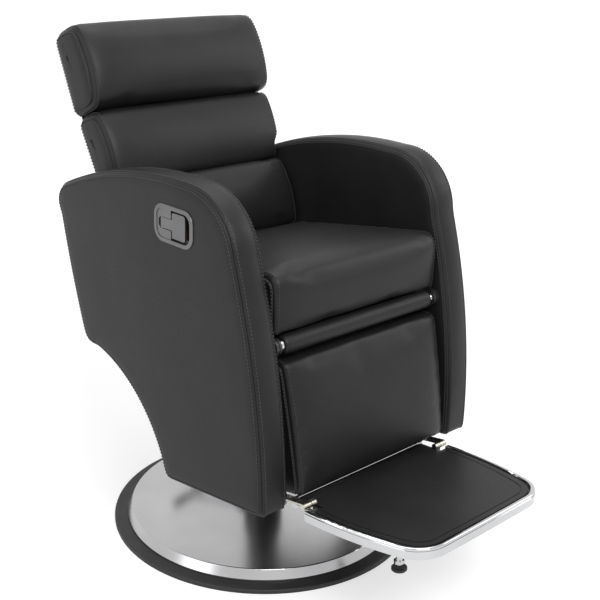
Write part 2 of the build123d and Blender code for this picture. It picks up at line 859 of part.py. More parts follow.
def arm_core(side):
    """Plywood core of an arm, bored for its bolts."""
    extrude(arm_section(side_plane(side * core_inner), core_inset), amount=side * core_thickness)
    with BuildSketch(side_plane(side * core_inner)) as holes:
        with Locations(*arm_bolt_places):
            Circle(arm_bolt_radius + running_gap)
    extrude(holes.sketch, amount=side * core_thickness, mode=Mode.SUBTRACT)


with BuildPart() as arm_pad_left:
    arm_pad(1)
arm_pad_left.part.label = "arm_pad_left"
export_step(arm_pad_left.part, "parts/arm_pad_left.step")

with BuildPart() as arm_core_left:
    arm_core(1)
arm_core_left.part.label = "arm_core_left"
export_step(arm_core_left.part, "parts/arm_core_left.step")

with BuildPart() as arm_core_right:
    arm_core(-1)
arm_core_right.part.label = "arm_core_right"
export_step(arm_core_right.part, "parts/arm_core_right.step")

# Right arm, with the pocket of the release handle down to its core
dish_length = bezel_length - 2 * dish_margin
dish_height = bezel_height - 2 * dish_margin
with BuildPart() as arm_pad_right:
    arm_pad(-1)
    with BuildSketch(side_plane(-core_outer)):
        with Locations((bezel_y, bezel_z)):
            RectangleRounded(dish_length + 2 * pocket_gap, dish_height + 2 * pocket_gap, dish_corner)
    extrude(amount=-(arm_thickness / 2 + overrun), mode=Mode.SUBTRACT)
arm_pad_right.part.label = "arm_pad_right"
export_step(arm_pad_right.part, "parts/arm_pad_right.step")

# Bolts that hold the arms to the side plates
with BuildPart() as arm_bolts:
    sides, length = both_sides(side_plate_inner, side_plate_inner + arm_bolt_length)
    for plane, direction in sides:
        with BuildSketch(plane):
            with Locations(*arm_bolt_places):
                Circle(arm_bolt_radius)
        extrude(amount=length * direction)
        with BuildSketch(plane):
            with Locations(*arm_bolt_places):
                Circle(arm_bolt_head_radius)
        extrude(amount=-arm_bolt_head * direction)
arm_bolts.part.label = "arm_bolts"
export_step(arm_bolts.part, "parts/arm_bolts.step")

# Bezel of the release handle: a rounded lip and a shallow dish with a finger opening
dish_floor = arm_outer + bezel_lip - dish_depth
finger_gap_front = bezel_y - dish_length / 2 + dish_wall
with BuildPart() as handle_bezel:
    with BuildSketch(side_plane(-arm_outer - seat_gap)):
        with Locations((bezel_y, bezel_z)):
            RectangleRounded(bezel_length, bezel_height, bezel_corner)
    extrude(amount=-bezel_lip)
    fillet(handle_bezel.faces().sort_by(Axis.X)[0].edges(), bezel_round)
    with BuildSketch(side_plane(-arm_outer - seat_gap)):
        with Locations((bezel_y, bezel_z)):
            RectangleRounded(dish_length, dish_height, dish_corner)
    extrude(amount=dish_depth)
    with BuildSketch(side_plane(-arm_outer - seat_gap - bezel_lip - overrun)):
        with Locations((bezel_y, bezel_z)):
            room_corner = dish_corner - dish_wall
            RectangleRounded(dish_length - 2 * dish_wall, dish_height - 2 * dish_wall, room_corner)
    extrude(amount=overrun + bezel_lip + dish_depth - dish_wall, mode=Mode.SUBTRACT)
    with BuildSketch(side_plane(-arm_outer)):
        with Locations((finger_gap_front + finger_gap_length, bezel_z)):
            RectangleRounded(2 * finger_gap_length, paddle_head_height - 2 * dish_wall, dish_wall * 3)
    extrude(amount=dish_depth + overrun, mode=Mode.SUBTRACT)
    for direction in (-1, 1):
        lug_z = bezel_z + direction * (paddle_stem_height / 2 + seat_gap)
        with BuildSketch(Plane.XY.offset(lug_z)):
            with Locations((-paddle_pin_x, paddle_pin_y)):
                Circle(paddle_barrel_radius)
            with Locations((-paddle_pin_x + dish_depth / 2, paddle_pin_y)):
                Rectangle(dish_depth, 2 * paddle_barrel_radius)
        extrude(amount=direction * paddle_barrel_radius)
    with BuildSketch(Plane.XY.offset(bezel_z)):
        with Locations((-paddle_pin_x, paddle_pin_y)):
            Circle(paddle_pin_radius + running_gap)
    extrude(amount=bezel_height / 3, both=True, mode=Mode.SUBTRACT)
handle_bezel.part.label = "handle_bezel"
export_step(handle_bezel.part, "parts/handle_bezel.step")

# Pin of the release paddle
with BuildPart() as handle_pin:
    with BuildSketch(Plane.XY.offset(bezel_z)):
        with Locations((-paddle_pin_x, paddle_pin_y)):
            Circle(paddle_pin_radius)
    extrude(amount=paddle_stem_height / 2 + paddle_barrel_radius, both=True)
handle_pin.part.label = "handle_pin"
export_step(handle_pin.part, "parts/handle_pin.step")

# Release paddle: a narrow stem on the pin and a wide head at the finger opening
paddle_tip = paddle_pin_y - paddle_reach
with BuildPart() as handle_paddle:
    with BuildSketch(side_plane(-paddle_pin_x)) as paddle_section:
        with Locations((paddle_pin_y - paddle_reach / 2, bezel_z)):
            Rectangle(paddle_reach, paddle_stem_height)
        with Locations((paddle_tip + paddle_head_length / 2, bezel_z)):
            Rectangle(paddle_head_length, paddle_head_height)
        fillet(paddle_section.vertices().group_by(Axis.X)[0], paddle_corner)
        fillet(paddle_section.vertices().group_by(Axis.Y)[-1], paddle_corner)
    extrude(amount=-paddle_thickness)
    with BuildSketch(Plane.XY.offset(bezel_z)):
        with Locations((-paddle_pin_x, paddle_pin_y)):
            Circle(paddle_barrel_radius)
    extrude(amount=paddle_stem_height / 2, both=True)
    with BuildSketch(Plane.XY.offset(bezel_z)):
        with Locations((-paddle_pin_x, paddle_pin_y)):
            Circle(paddle_pin_radius + running_gap)
    extrude(amount=paddle_stem_height, both=True, mode=Mode.SUBTRACT)
handle_paddle.part.label = "handle_paddle"
export_step(handle_paddle.part, "parts/handle_paddle.step")

# Stub pins of the recline hinge
with BuildPart() as back_pins:
    pin_pair(pivot_pin_radius, swing_inner, side_plate_outer, pivot_y, pivot_z)
back_pins.part.label = "back_pins"
export_step(back_pins.part, "parts/back_pins.step")

# Knee tube: the axle of the legrest
with BuildPart() as knee_tube:
    with BuildSketch(side_plane(0)):
        with Locations((knee_y, knee_z)):
            Circle(knee_tube_radius)
    extrude(amount=side_plate_outer, both=True)
knee_tube.part.label = "knee_tube"
export_step(knee_tube.part, "parts/knee_tube.step")

# Padded knee roll on the tube
with BuildPart() as knee_roll:
    with BuildSketch(side_plane(0)):
        with Locations((knee_y, knee_z)):
            Circle(knee_roll_radius)
    extrude(amount=knee_roll_half_width, both=True)
    fillet(knee_roll.edges().filter_by(GeomType.CIRCLE), rear_round)
    with BuildSketch(side_plane(0)):
        with Locations((knee_y, knee_z)):
            Circle(knee_tube_radius + running_gap)
    extrude(amount=knee_roll_half_width + overrun, both=True, mode=Mode.SUBTRACT)
knee_roll.part.label = "knee_roll"
export_step(knee_roll.part, "parts/knee_roll.step")

# Bright end caps of the knee roll
with BuildPart() as knee_caps:
    cap_inner = knee_roll_half_width + seat_gap
    pin_pair(knee_cap_radius, cap_inner, cap_inner + knee_cap_width, knee_y, knee_z)
    chamfer(knee_caps.edges().filter_by(GeomType.CIRCLE), knee_cap_edge)
    with BuildSketch(side_plane(0)):
        with Locations((knee_y, knee_z)):
            Circle(knee_tube_radius + running_gap)
    extrude(amount=cap_inner + knee_cap_width + overrun, both=True, mode=Mode.SUBTRACT)
knee_caps.part.label = "knee_caps"
export_step(knee_caps.part, "parts/knee_caps.step")


def crank_outline(y, z, bore):
    """Crank from a hinge boss to the end where a link bar is pinned."""
    end_y, end_z = y + crank_dy, z + crank_dz
    make_hull(
        Edge.make_circle(boss_radius, Plane((y, z, 0))).edges()
        + Edge.make_circle(crank_end_radius, Plane((end_y, end_z, 0))).edges()
    )
    with Locations((y, z)):
        Circle(bore + running_gap, mode=Mode.SUBTRACT)
    with Locations((end_y, end_z)):
        Circle(link_pin_radius + running_gap, mode=Mode.SUBTRACT)


# Cranks at the foot of the back frame, on the recline pins
with BuildPart() as back_cranks:
    sides, thickness = both_sides(swing_inner, swing_outer)
    for plane, direction in sides:
        with BuildSketch(plane):
            crank_outline(pivot_y, pivot_z, pivot_pin_radius)
        extrude(amount=thickness * direction)
back_cranks.part.label = "back_cranks"
export_step(back_cranks.part, "parts/back_cranks.step")

# Upright tubes of the back frame, welded to the cranks
tube_front = back_rear - back_tube_depth
tube_outer = swing_inner
tube_inner = tube_outer - back_tube_width
with BuildPart() as back_tubes:
    for direction in (1, -1):
        with BuildSketch(back_plane(direction * tube_inner)):
            with Locations(((tube_front + back_rear) / 2, (back_tube_foot + back_tube_top) / 2)):
                Rectangle(back_tube_depth, back_tube_top - back_tube_foot)
        extrude(amount=direction * back_tube_width)
back_tubes.part.label = "back_tubes"
export_step(back_tubes.part, "parts/back_tubes.step")

# Cross tubes between the uprights
with BuildPart() as back_cross_tubes:
    for cross_foot in (back_tube_foot, back_tube_mid, back_tube_top - back_tube_width):
        with BuildSketch(back_plane(0)):
            with Locations(((tube_front + back_rear) / 2, cross_foot + back_tube_width / 2)):
                Rectangle(back_tube_depth, back_tube_width)
                bore_width = back_tube_width - 2 * tube_wall
                Rectangle(back_tube_depth - 2 * tube_wall, bore_width, mode=Mode.SUBTRACT)
        extrude(amount=tube_inner, both=True)
back_cross_tubes.part.label = "back_cross_tubes"
export_step(back_cross_tubes.part, "parts/back_cross_tubes.step")

# Plywood back board in front of the tubes
back_board_front = tube_front - board_thickness
back_board_half_width = lower_half_width - back_board_margin
with BuildPart() as back_board:
    with BuildSketch(back_plane(0)):
        with Locations(((back_board_front + tube_front) / 2, (back_board_foot + back_board_top) / 2)):
            Rectangle(board_thickness, back_board_top - back_board_foot)
    extrude(amount=back_board_half_width, both=True)
back_board.part.label = "back_board"
export_step(back_board.part, "parts/back_board.step")


def back_pocket():
    """Space of the board and the tubes in the rear of the back rolls, a little larger than both."""
    for front, foot, top, half_width in (
        (back_board_front, back_board_foot, back_board_top, back_board_half_width),
        (tube_front, back_tube_foot - overrun, back_board_top, tube_outer),
    ):
        with BuildSketch(back_plane(0)) as space:
            with BuildLine():
                Polyline(
                    (front - seat_gap, foot - seat_gap),
                    (back_rear + overrun, foot - seat_gap),
                    (back_rear + overrun, top + seat_gap),
                    (front - seat_gap, top + seat_gap),
                    close=True,
                )
            make_face()
        extrude(space.sketch, amount=half_width + seat_gap, both=True, mode=Mode.SUBTRACT)


def back_roll(front, foot, top, crown, half_width, edge_radius, spread=0.0, top_crown=0.0):
    """Crowned roll of the backrest. Its side faces lean out by spread towards the top."""
    sections = []
    for width_share, crown_share in mirrored_shares:
        flat = back_plane(half_width * width_share)
        plane = flared_plane(flat, foot, top - foot, spread * width_share)
        sections.append(roll_section(plane, front, top - foot, crown, crown_share, edge_radius, top_crown))
    loft(sections, ruled=True)
    back_pocket()


with BuildPart() as back_cushion_lower:
    back_roll(lower_front, lower_roll_foot, lower_roll_top, lower_crown, lower_half_width, roll_round)
back_cushion_lower.part.label = "back_cushion_lower"
export_step(back_cushion_lower.part, "parts/back_cushion_lower.step")

with BuildPart() as back_cushion_middle:
    back_roll(
        middle_front, middle_roll_foot, middle_roll_top, middle_crown, lower_half_width, roll_round,
        middle_half_width - lower_half_width,
    )
back_cushion_middle.part.label = "back_cushion_middle"
export_step(back_cushion_middle.part, "parts/back_cushion_middle.step")

with BuildPart() as headrest_cushion:
    back_roll(
        head_front, head_roll_foot, head_roll_top, head_crown, head_half_width, head_round,
        top_crown=roll_end_crown,
    )
headrest_cushion.part.label = "headrest_cushion"
export_step(headrest_cushion.part, "parts/headrest_cushion.step")

# Rear panel that closes the backrest
panel_foot = lower_roll_foot + back_panel_inset
panel_top = head_roll_top - roll_draw_in
with BuildPart() as back_panel:
    with BuildSketch(back_plane(0)):
        with Locations((back_rear + seat_gap + back_panel_thickness / 2, (panel_foot + panel_top) / 2)):
            Rectangle(back_panel_thickness, panel_top - panel_foot)
    extrude(amount=lower_half_width - back_panel_inset, both=True)
    fillet(back_panel.edges().filter_by(GeomType.LINE).group_by(Axis.Z)[-1], back_panel_thickness / 3)
back_panel.part.label = "back_panel"
export_step(back_panel.part, "parts/back_panel.step")


def link_pins(y, z):
    """Pins that join a link bar to a crank on each side."""
    pin_pair(link_pin_radius, link_inner - seat_gap, swing_outer, y + crank_dy, z + crank_dz)
    head_foot = link_inner - seat_gap - link_head_height
    pin_pair(link_head_radius, head_foot, link_inner - seat_gap, y + crank_dy, z + crank_dz)


with BuildPart() as link_pins_rear:
    link_pins(pivot_y, pivot_z)
link_pins_rear.part.label = "link_pins_rear"
export_step(link_pins_rear.part, "parts/link_pins_rear.step")

with BuildPart() as link_pins_front:
    link_pins(knee_y, knee_z)
link_pins_front.part.label = "link_pins_front"
export_step(link_pins_front.part, "parts/link_pins_front.step")

# Link bars, which make the legrest turn with the back
with BuildPart() as link_bars:
    rear_end = (pivot_y + crank_dy, pivot_z + crank_dz)
    front_end = (knee_y + crank_dy, knee_z + crank_dz)
    sides, thickness = both_sides(link_inner, link_outer)
    for plane, direction in sides:
        with BuildSketch(plane):
            make_hull(
                Edge.make_circle(link_end_radius, Plane((*rear_end, 0))).edges()
                + Edge.make_circle(link_end_radius, Plane((*front_end, 0))).edges()
            )
            with Locations(rear_end):
                Circle(link_pin_radius + running_gap, mode=Mode.SUBTRACT)
            with Locations(front_end):
                Circle(link_pin_radius + open_pivot_gap, mode=Mode.SUBTRACT)
        extrude(amount=thickness * direction)
link_bars.part.label = "link_bars"
export_step(link_bars.part, "parts/link_bars.step")


# Legrest pad: a crowned front, narrower at the foot
with BuildPart() as legrest_pad:
    for width_share, crown_share in mirrored_shares:
        inset = leg_draw_in * (1 - crown_share) ** 2
        flat = leg_plane(leg_foot_half_width * width_share)
        spread = (leg_top_half_width - leg_foot_half_width) * width_share
        with BuildSketch(flared_plane(flat, 0, leg_height, spread)) as section:
            pad_outline(
                section,
                [
                    (leg_front + inset, inset / 2),
                    (leg_rear, inset / 2),
                    (leg_rear, leg_height - inset / 2),
                    (leg_front + inset, leg_height - inset / 2),
                ],
                [0.0, 0.0, 0.0, leg_crown * crown_share + seat_gap],
                [leg_round, rear_round, rear_round, leg_round],
            )
    loft(ruled=True)
    with BuildSketch(leg_plane(0)):
        with Locations((leg_rear, leg_height / 2)):
            Rectangle(2 * (board_thickness + seat_gap), leg_height - 2 * leg_board_margin + 2 * seat_gap)
    extrude(amount=leg_foot_half_width - leg_board_margin + seat_gap, both=True, mode=Mode.SUBTRACT)
legrest_pad.part.label = "legrest_pad"
export_step(legrest_pad.part, "parts/legrest_pad.step")

# Plywood board in the rear of the legrest pad
with BuildPart() as legrest_board:
    with BuildSketch(leg_plane(0)):
        with Locations((leg_rear - board_thickness / 2, leg_height / 2)):
            Rectangle(board_thickness, leg_height - 2 * leg_board_margin)
    extrude(amount=leg_foot_half_width - leg_board_margin, both=True)
legrest_board.part.label = "legrest_board"
export_step(legrest_board.part, "parts/legrest_board.step")

# Arms of the legrest: cranks on the knee tube that also reach down behind the pad
leg_back = leg_rear + seat_gap
hinge_t, hinge_s = leg_local(hinge_y, hinge_z)
tube_t = leg_back + leg_tube / 2
upper_y, upper_z = leg_place(tube_t, leg_tube_top + leg_tube / 2)
with BuildPart() as legrest_arms:
    sides, thickness = both_sides(swing_inner, swing_outer)
    for plane, direction in sides:
        with BuildSketch(plane):
            crank_outline(knee_y, knee_z, knee_tube_radius)
            make_hull(
                Edge.make_circle(crank_end_radius, Plane((knee_y + crank_dy, knee_z + crank_dz, 0))).edges()
                + Edge.make_circle(leg_arm_end_radius, Plane((upper_y, upper_z, 0))).edges()
            )
            with Locations((knee_y + crank_dy, knee_z + crank_dz)):
                Circle(link_pin_radius + running_gap, mode=Mode.SUBTRACT)
        extrude(amount=thickness * direction)
legrest_arms.part.label = "legrest_arms"
export_step(legrest_arms.part, "parts/legrest_arms.step")

# Cross tubes of the legrest
with BuildPart() as legrest_tubes:
    for tube_foot, half_width in ((leg_tube_top, swing_inner), (leg_tube_low, bracket_x)):
        with BuildSketch(leg_plane(0)):
            with Locations((tube_t, tube_foot + leg_tube / 2)):
                Rectangle(leg_tube, leg_tube)
                Rectangle(leg_tube - 2 * tube_wall, leg_tube - 2 * tube_wall, mode=Mode.SUBTRACT)
        extrude(amount=half_width, both=True)
legrest_tubes.part.label = "legrest_tubes"
export_step(legrest_tubes.part, "parts/legrest_tubes.step")

# Spines between the two cross tubes, screwed to the board
with BuildPart() as legrest_spines:
    for spine_x in (-leg_spine_x, leg_spine_x):
        with BuildSketch(leg_plane(spine_x)):
            with Locations((leg_back + leg_spine_depth / 2, (leg_tube_low + leg_tube + leg_tube_top) / 2)):
                Rectangle(leg_spine_depth, leg_tube_top - leg_tube_low - leg_tube)
        extrude(amount=leg_spine_width / 2, both=True)
legrest_spines.part.label = "legrest_spines"
export_step(legrest_spines.part, "parts/legrest_spines.step")

# Brackets of the legrest, which reach forward under the pad and carry the hinge bars
strap_top = hinge_s + knuckle_radius
with BuildPart() as legrest_feet:
    for direction in (1, -1):
        with BuildSketch(leg_plane(direction * bracket_x)):
            with BuildLine():
                Polyline(
                    (hinge_t, strap_top),
                    (leg_back, strap_top),
                    (leg_back, leg_tube_low + leg_tube),
                    (leg_back + leg_tube, leg_tube_low + leg_tube),
                    (leg_back + leg_tube, leg_tube_low),
                    (leg_back + bracket_thickness, strap_top + leg_tube),
                    (leg_back + bracket_thickness, strap_top - bracket_thickness),
                    (hinge_t, strap_top - bracket_thickness),
                    close=True,
                )
            make_face()
            with Locations((hinge_t, hinge_s)):
                Circle(knuckle_radius)
                Circle(hinge_bar_radius + running_gap, mode=Mode.SUBTRACT)
        extrude(amount=direction * bracket_width)
legrest_feet.part.label = "legrest_feet"
export_step(legrest_feet.part, "parts/legrest_feet.step")

# Short bars that the footplate turns on, one through each bracket
notch_inner = bracket_x - lug_gap
lug_inner = notch_inner - lug_width
with BuildPart() as hinge_bar:
    pin_pair(hinge_bar_radius, lug_inner, bracket_x + bracket_width, hinge_y, hinge_z)
hinge_bar.part.label = "hinge_bar"
export_step(hinge_bar.part, "parts/hinge_bar.step")

# Directions of the footplate's plane
foot_turn = radians(foot_tilt_angle)
foot_up = Vector(0, sin(foot_turn), cos(foot_turn))


def foot_level(height):
    """Plane of the footplate at a height above the hinge, tipped up towards the front."""
    return Plane(origin=Vector(0, hinge_y, hinge_z) + foot_up * height, x_dir=(1, 0, 0), z_dir=foot_up)


def foot_outline(inset):
    """Outline of the footplate from above, moved inwards by inset."""
    rear, front_side, front = foot_rear - inset, foot_front_side + inset, foot_front + inset
    rear_half, half = foot_rear_half_width - inset, foot_half_width - inset
    front_half = foot_front_half_width - inset
    with BuildSketch() as outline:
        with BuildLine():
            Line((-rear_half, rear), (rear_half, rear))
            ThreePointArc((rear_half, rear), (half, foot_widest), (front_half, front_side))
            ThreePointArc((front_half, front_side), (0, front), (-front_half, front_side))
            ThreePointArc((-front_half, front_side), (-half, foot_widest), (-rear_half, rear))
        make_face()
        fillet(outline.vertices().group_by(Axis.Y)[0], foot_corner - inset)
    return outline.sketch


def cut_notches(clearance):
    """Cut the room of the hinges, with a clearance round it, out of both rear corners."""
    inner, front = notch_inner - clearance, -knuckle_radius - lug_gap - clearance
    outer, rear = foot_half_width + overrun, foot_rear + overrun
    with Locations(*[(direction * (inner + outer) / 2, (front + rear) / 2) for direction in (1, -1)]):
        Rectangle(outer - inner, rear - front, mode=Mode.SUBTRACT)


# Bright rim round the footplate, with a groove under its rounded top
rim_bottom = foot_top - rim_height
with BuildPart() as foot_rim:
    with BuildSketch(foot_level(rim_bottom)):
        add(foot_outline(0))
        add(foot_outline(rim_width), mode=Mode.SUBTRACT)
        cut_notches(0)
    extrude(amount=rim_height)
    rim_tops = foot_rim.faces().filter_by(foot_level(foot_top)).group_by(Axis((0, 0, 0), foot_up))[-1]
    fillet(rim_tops.edges(), rim_round)
    with BuildSketch(foot_level(foot_top - rim_groove_drop)):
        add(foot_outline(-overrun))
        add(foot_outline(rim_groove), mode=Mode.SUBTRACT)
    extrude(amount=rim_groove, both=True, mode=Mode.SUBTRACT)
foot_rim.part.label = "foot_rim"
export_step(foot_rim.part, "parts/foot_rim.step")

# Tray of the footplate with its ribs
tray_top = foot_top - tray_drop
tray_bottom = tray_top - tray_thickness
tray_inset = rim_width + tray_lip_gap
rib_rear = foot_rear - tray_inset
with BuildPart() as foot_tray:
    with BuildSketch(foot_level(tray_bottom)):
        add(foot_outline(tray_inset))
        cut_notches(0)
    extrude(amount=tray_thickness)
    with BuildSketch(foot_level(tray_bottom)):
        with Locations(*[(x, (rib_rear + rib_front) / 2) for x in (-rib_x, 0, rib_x)]):
            Rectangle(rib_width, rib_rear - rib_front)
        with Locations((0, stem_y)):
            Rectangle(2 * rib_x, rib_width)
    extrude(amount=-rib_height)
foot_tray.part.label = "foot_tray"
export_step(foot_tray.part, "parts/foot_tray.step")

# Hinge lugs that stand on the tray, one on the inner side of each bracket
with BuildPart() as foot_lugs:
    for direction in (1, -1):
        with BuildSketch(side_plane(direction * lug_inner, hinge_y, hinge_z, foot_tilt_angle)):
            with Locations((0, tray_top / 2)):
                Rectangle(2 * knuckle_radius, -tray_top)
            Circle(knuckle_radius)
            Circle(hinge_bar_radius + running_gap, mode=Mode.SUBTRACT)
        extrude(amount=direction * lug_width)
foot_lugs.part.label = "foot_lugs"
export_step(foot_lugs.part, "parts/foot_lugs.step")

# Rubber mat with a pressed border line, cut out round the hinges
with BuildPart() as foot_mat:
    with BuildSketch(foot_level(tray_top)):
        add(foot_outline(tray_inset + mat_margin))
        cut_notches(lug_width + lug_gap)
    extrude(amount=mat_thickness)
    with BuildSketch(foot_level(tray_top + mat_thickness)):
        add(foot_outline(tray_inset + mat_border))
        add(foot_outline(tray_inset + mat_border + 2 * mat_groove), mode=Mode.SUBTRACT)
    extrude(amount=-mat_groove, mode=Mode.SUBTRACT)
foot_mat.part.label = "foot_mat"
export_step(foot_mat.part, "parts/foot_mat.step")

# Stem and rubber glide under the footplate
stem_top = tray_bottom - rib_height
stem_foot = stem_top - stem_length
glide_bottom = stem_foot - glide_sole
nut_foot = glide_bottom + glide_height + stem_nut_height
with BuildPart() as foot_stem:
    with BuildSketch(foot_level(stem_top)):
        with Locations((0, stem_y)):
            Rectangle(stem_plate, stem_plate)
    extrude(amount=-stem_plate_thickness)
    with BuildSketch(foot_level(stem_foot)):
        with Locations((0, stem_y)):
            Circle(stem_radius)
    extrude(amount=stem_length - stem_plate_thickness)
    with BuildSketch(foot_level(nut_foot)):
        with Locations((0, stem_y)):
            RegularPolygon(stem_nut_radius, 6)
    extrude(amount=stem_nut_height)
foot_stem.part.label = "foot_stem"
export_step(foot_stem.part, "parts/foot_stem.step")

with BuildPart() as foot_glide:
    with BuildSketch(foot_level(glide_bottom)):
        with Locations((0, stem_y)):
            Circle(glide_radius)
    extrude(amount=glide_height)
    chamfer(foot_glide.edges(), glide_edge)
    with BuildSketch(foot_level(stem_foot)):
        with Locations((0, stem_y)):
            Circle(stem_radius + running_gap)
    extrude(amount=glide_height, mode=Mode.SUBTRACT)
foot_glide.part.label = "foot_glide"
export_step(foot_glide.part, "parts/foot_glide.step")
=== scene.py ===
"""Looks of the reclining salon chair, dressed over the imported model. Metres, +Z up, the chair faces -Y."""
import json
import math

import bmesh
import bpy
import numpy as np
from mathutils import Matrix, Vector, geometry, noise


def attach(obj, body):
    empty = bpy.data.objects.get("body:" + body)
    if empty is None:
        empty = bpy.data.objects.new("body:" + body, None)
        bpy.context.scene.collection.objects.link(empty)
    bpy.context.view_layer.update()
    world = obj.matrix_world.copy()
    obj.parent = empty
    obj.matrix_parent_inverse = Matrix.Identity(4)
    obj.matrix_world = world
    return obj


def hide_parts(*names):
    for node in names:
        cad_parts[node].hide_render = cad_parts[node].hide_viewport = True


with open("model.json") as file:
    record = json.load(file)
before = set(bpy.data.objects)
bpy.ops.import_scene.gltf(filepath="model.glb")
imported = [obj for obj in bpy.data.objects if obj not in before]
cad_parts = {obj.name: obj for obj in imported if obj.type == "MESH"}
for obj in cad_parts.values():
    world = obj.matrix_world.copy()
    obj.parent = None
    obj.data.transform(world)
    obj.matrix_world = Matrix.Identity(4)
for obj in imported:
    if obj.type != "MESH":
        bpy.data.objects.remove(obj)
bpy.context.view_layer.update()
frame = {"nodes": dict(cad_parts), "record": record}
nodes = frame["nodes"]
scene = bpy.context.scene


# Materials

def new_material(name):
    """Empty node material with its output, shader and object coordinates."""
    made = bpy.data.materials.new(name)
    made.use_nodes = True
    tree = made.node_tree
    tree.nodes.clear()
    output = tree.nodes.new("ShaderNodeOutputMaterial")
    shader = tree.nodes.new("ShaderNodeBsdfPrincipled")
    tree.links.new(shader.outputs["BSDF"], output.inputs["Surface"])
    place = tree.nodes.new("ShaderNodeTexCoord")
    return made, tree, shader, place.outputs["Object"]


def add_node(tree, kind, inputs=None, **settings):
    """New node with its settings and with values or links for its inputs."""
    node = tree.nodes.new(kind)
    for key, value in settings.items():
        setattr(node, key, value)
    for key, value in (inputs or {}).items():
        if isinstance(value, bpy.types.NodeSocket):
            tree.links.new(value, node.inputs[key])
        else:
            node.inputs[key].default_value = value
    return node


def noise_of(tree, place, scale, detail=2.0, rough=0.5):
    """Soft noise over the object's own coordinates."""
    return add_node(
        tree, "ShaderNodeTexNoise", {"Vector": place, "Scale": scale, "Detail": detail, "Roughness": rough}
    ).outputs["Fac"]


def spread(tree, value, low, high):
    """The value from 0 to 1, mapped from low to high."""
    return add_node(
        tree, "ShaderNodeMapRange", {"Value": value, "From Min": 0.3, "From Max": 0.7, "To Min": low, "To Max": high}
    ).outputs["Result"]


def tint(tree, value, dark, light):
    """Colour between dark and light by the value."""
    ramp = add_node(tree, "ShaderNodeValToRGB", {"Fac": value})
    ramp.color_ramp.elements[0].color = (*dark, 1)
    ramp.color_ramp.elements[1].color = (*light, 1)
    ramp.color_ramp.elements[0].position = 0.3
    ramp.color_ramp.elements[1].position = 0.7
    return ramp.outputs["Color"]


def bumped(tree, shader, steps):
    """Chain of bumps, each a height value with its distance and strength, on the shader's normal."""
    before = None
    for height, distance, strength in steps:
        bump = add_node(tree, "ShaderNodeBump", {"Height": height, "Distance": distance, "Strength": strength})
        if before is not None:
            tree.links.new(before, bump.inputs["Normal"])
        before = bump.outputs["Normal"]
    tree.links.new(before, shader.inputs["Normal"])


def leather(name, dark, light, low_rough, high_rough, grain=1500.0):
    """Grained leather: fine cells and pores, a soft mottle that the eye still sees from afar, slow folds."""
    made, tree, shader, place = new_material(name)
    slow = noise_of(tree, place, 9.0, 3.0)
    mottle = noise_of(tree, place, 330.0, 2.0, 0.6)
    scales = add_node(tree, "ShaderNodeTexVoronoi", {"Vector": place, "Scale": grain}, feature="F1")
    cells = scales.outputs["Distance"]
    pores = noise_of(tree, place, grain * 2.4, 2.0)
    folds = noise_of(tree, place, 26.0, 4.0, 0.55)
    tree.links.new(tint(tree, slow, dark, light), shader.inputs["Base Color"])
    tree.links.new(spread(tree, mottle, low_rough, high_rough), shader.inputs["Roughness"])
    shader.inputs["Specular IOR Level"].default_value = 0.25
    bumped(tree, shader, [(folds, 0.0012, 0.22), (mottle, 0.0006, 0.3), (cells, 0.00016, 0.5), (pores, 0.00006, 0.3)])
    return made


def metal(name, dark, light, low_rough, high_rough, scratch=0.0):
    """Metal with faint stains in its colour, gloss and height."""
    made, tree, shader, place = new_material(name)
    fine = noise_of(tree, place, 240.0, 3.0)
    slow = noise_of(tree, place, 9.0, 2.0)
    tree.links.new(tint(tree, slow, dark, light), shader.inputs["Base Color"])
    tree.links.new(spread(tree, fine, low_rough, high_rough), shader.inputs["Roughness"])
    shader.inputs["Metallic"].default_value = 1.0
    bumped(tree, shader, [(fine, 0.00005, scratch)])
    return made


def spun_steel(name):
    """Satin stainless with the faint rings of spinning round the column."""
    made, tree, shader, place = new_material(name)
    split = add_node(tree, "ShaderNodeSeparateXYZ", {"Vector": place})
    across = add_node(
        tree, "ShaderNodeMath", {0: split.outputs["X"], 1: split.outputs["X"]}, operation="MULTIPLY"
    ).outputs["Value"]
    summed = add_node(
        tree, "ShaderNodeMath", {0: split.outputs["Y"], 1: split.outputs["Y"], 2: across}, operation="MULTIPLY_ADD"
    ).outputs["Value"]
    radius = add_node(tree, "ShaderNodeMath", {0: summed}, operation="SQRT").outputs["Value"]
    rings = add_node(tree, "ShaderNodeCombineXYZ", {"X": radius})
    lines = noise_of(tree, rings.outputs["Vector"], 260.0, 2.0)
    slow = noise_of(tree, place, 5.0, 2.0)
    tree.links.new(tint(tree, slow, (0.43, 0.43, 0.438), (0.52, 0.52, 0.525)), shader.inputs["Base Color"])
    tree.links.new(spread(tree, lines, 0.2, 0.26), shader.inputs["Roughness"])
    shader.inputs["Metallic"].default_value = 1.0
    bumped(tree, shader, [(lines, 0.00003, 0.12)])
    return made


def rubber(name, dark, light, low_rough=0.5, high_rough=0.65):
    """Moulded rubber with a fine matt skin and a little dust."""
    made, tree, shader, place = new_material(name)
    dust = noise_of(tree, place, 30.0, 5.0)
    fine = noise_of(tree, place, 900.0, 3.0)
    tree.links.new(tint(tree, dust, dark, light), shader.inputs["Base Color"])
    tree.links.new(spread(tree, dust, low_rough, high_rough), shader.inputs["Roughness"])
    bumped(tree, shader, [(fine, 0.0001, 0.4)])
    return made


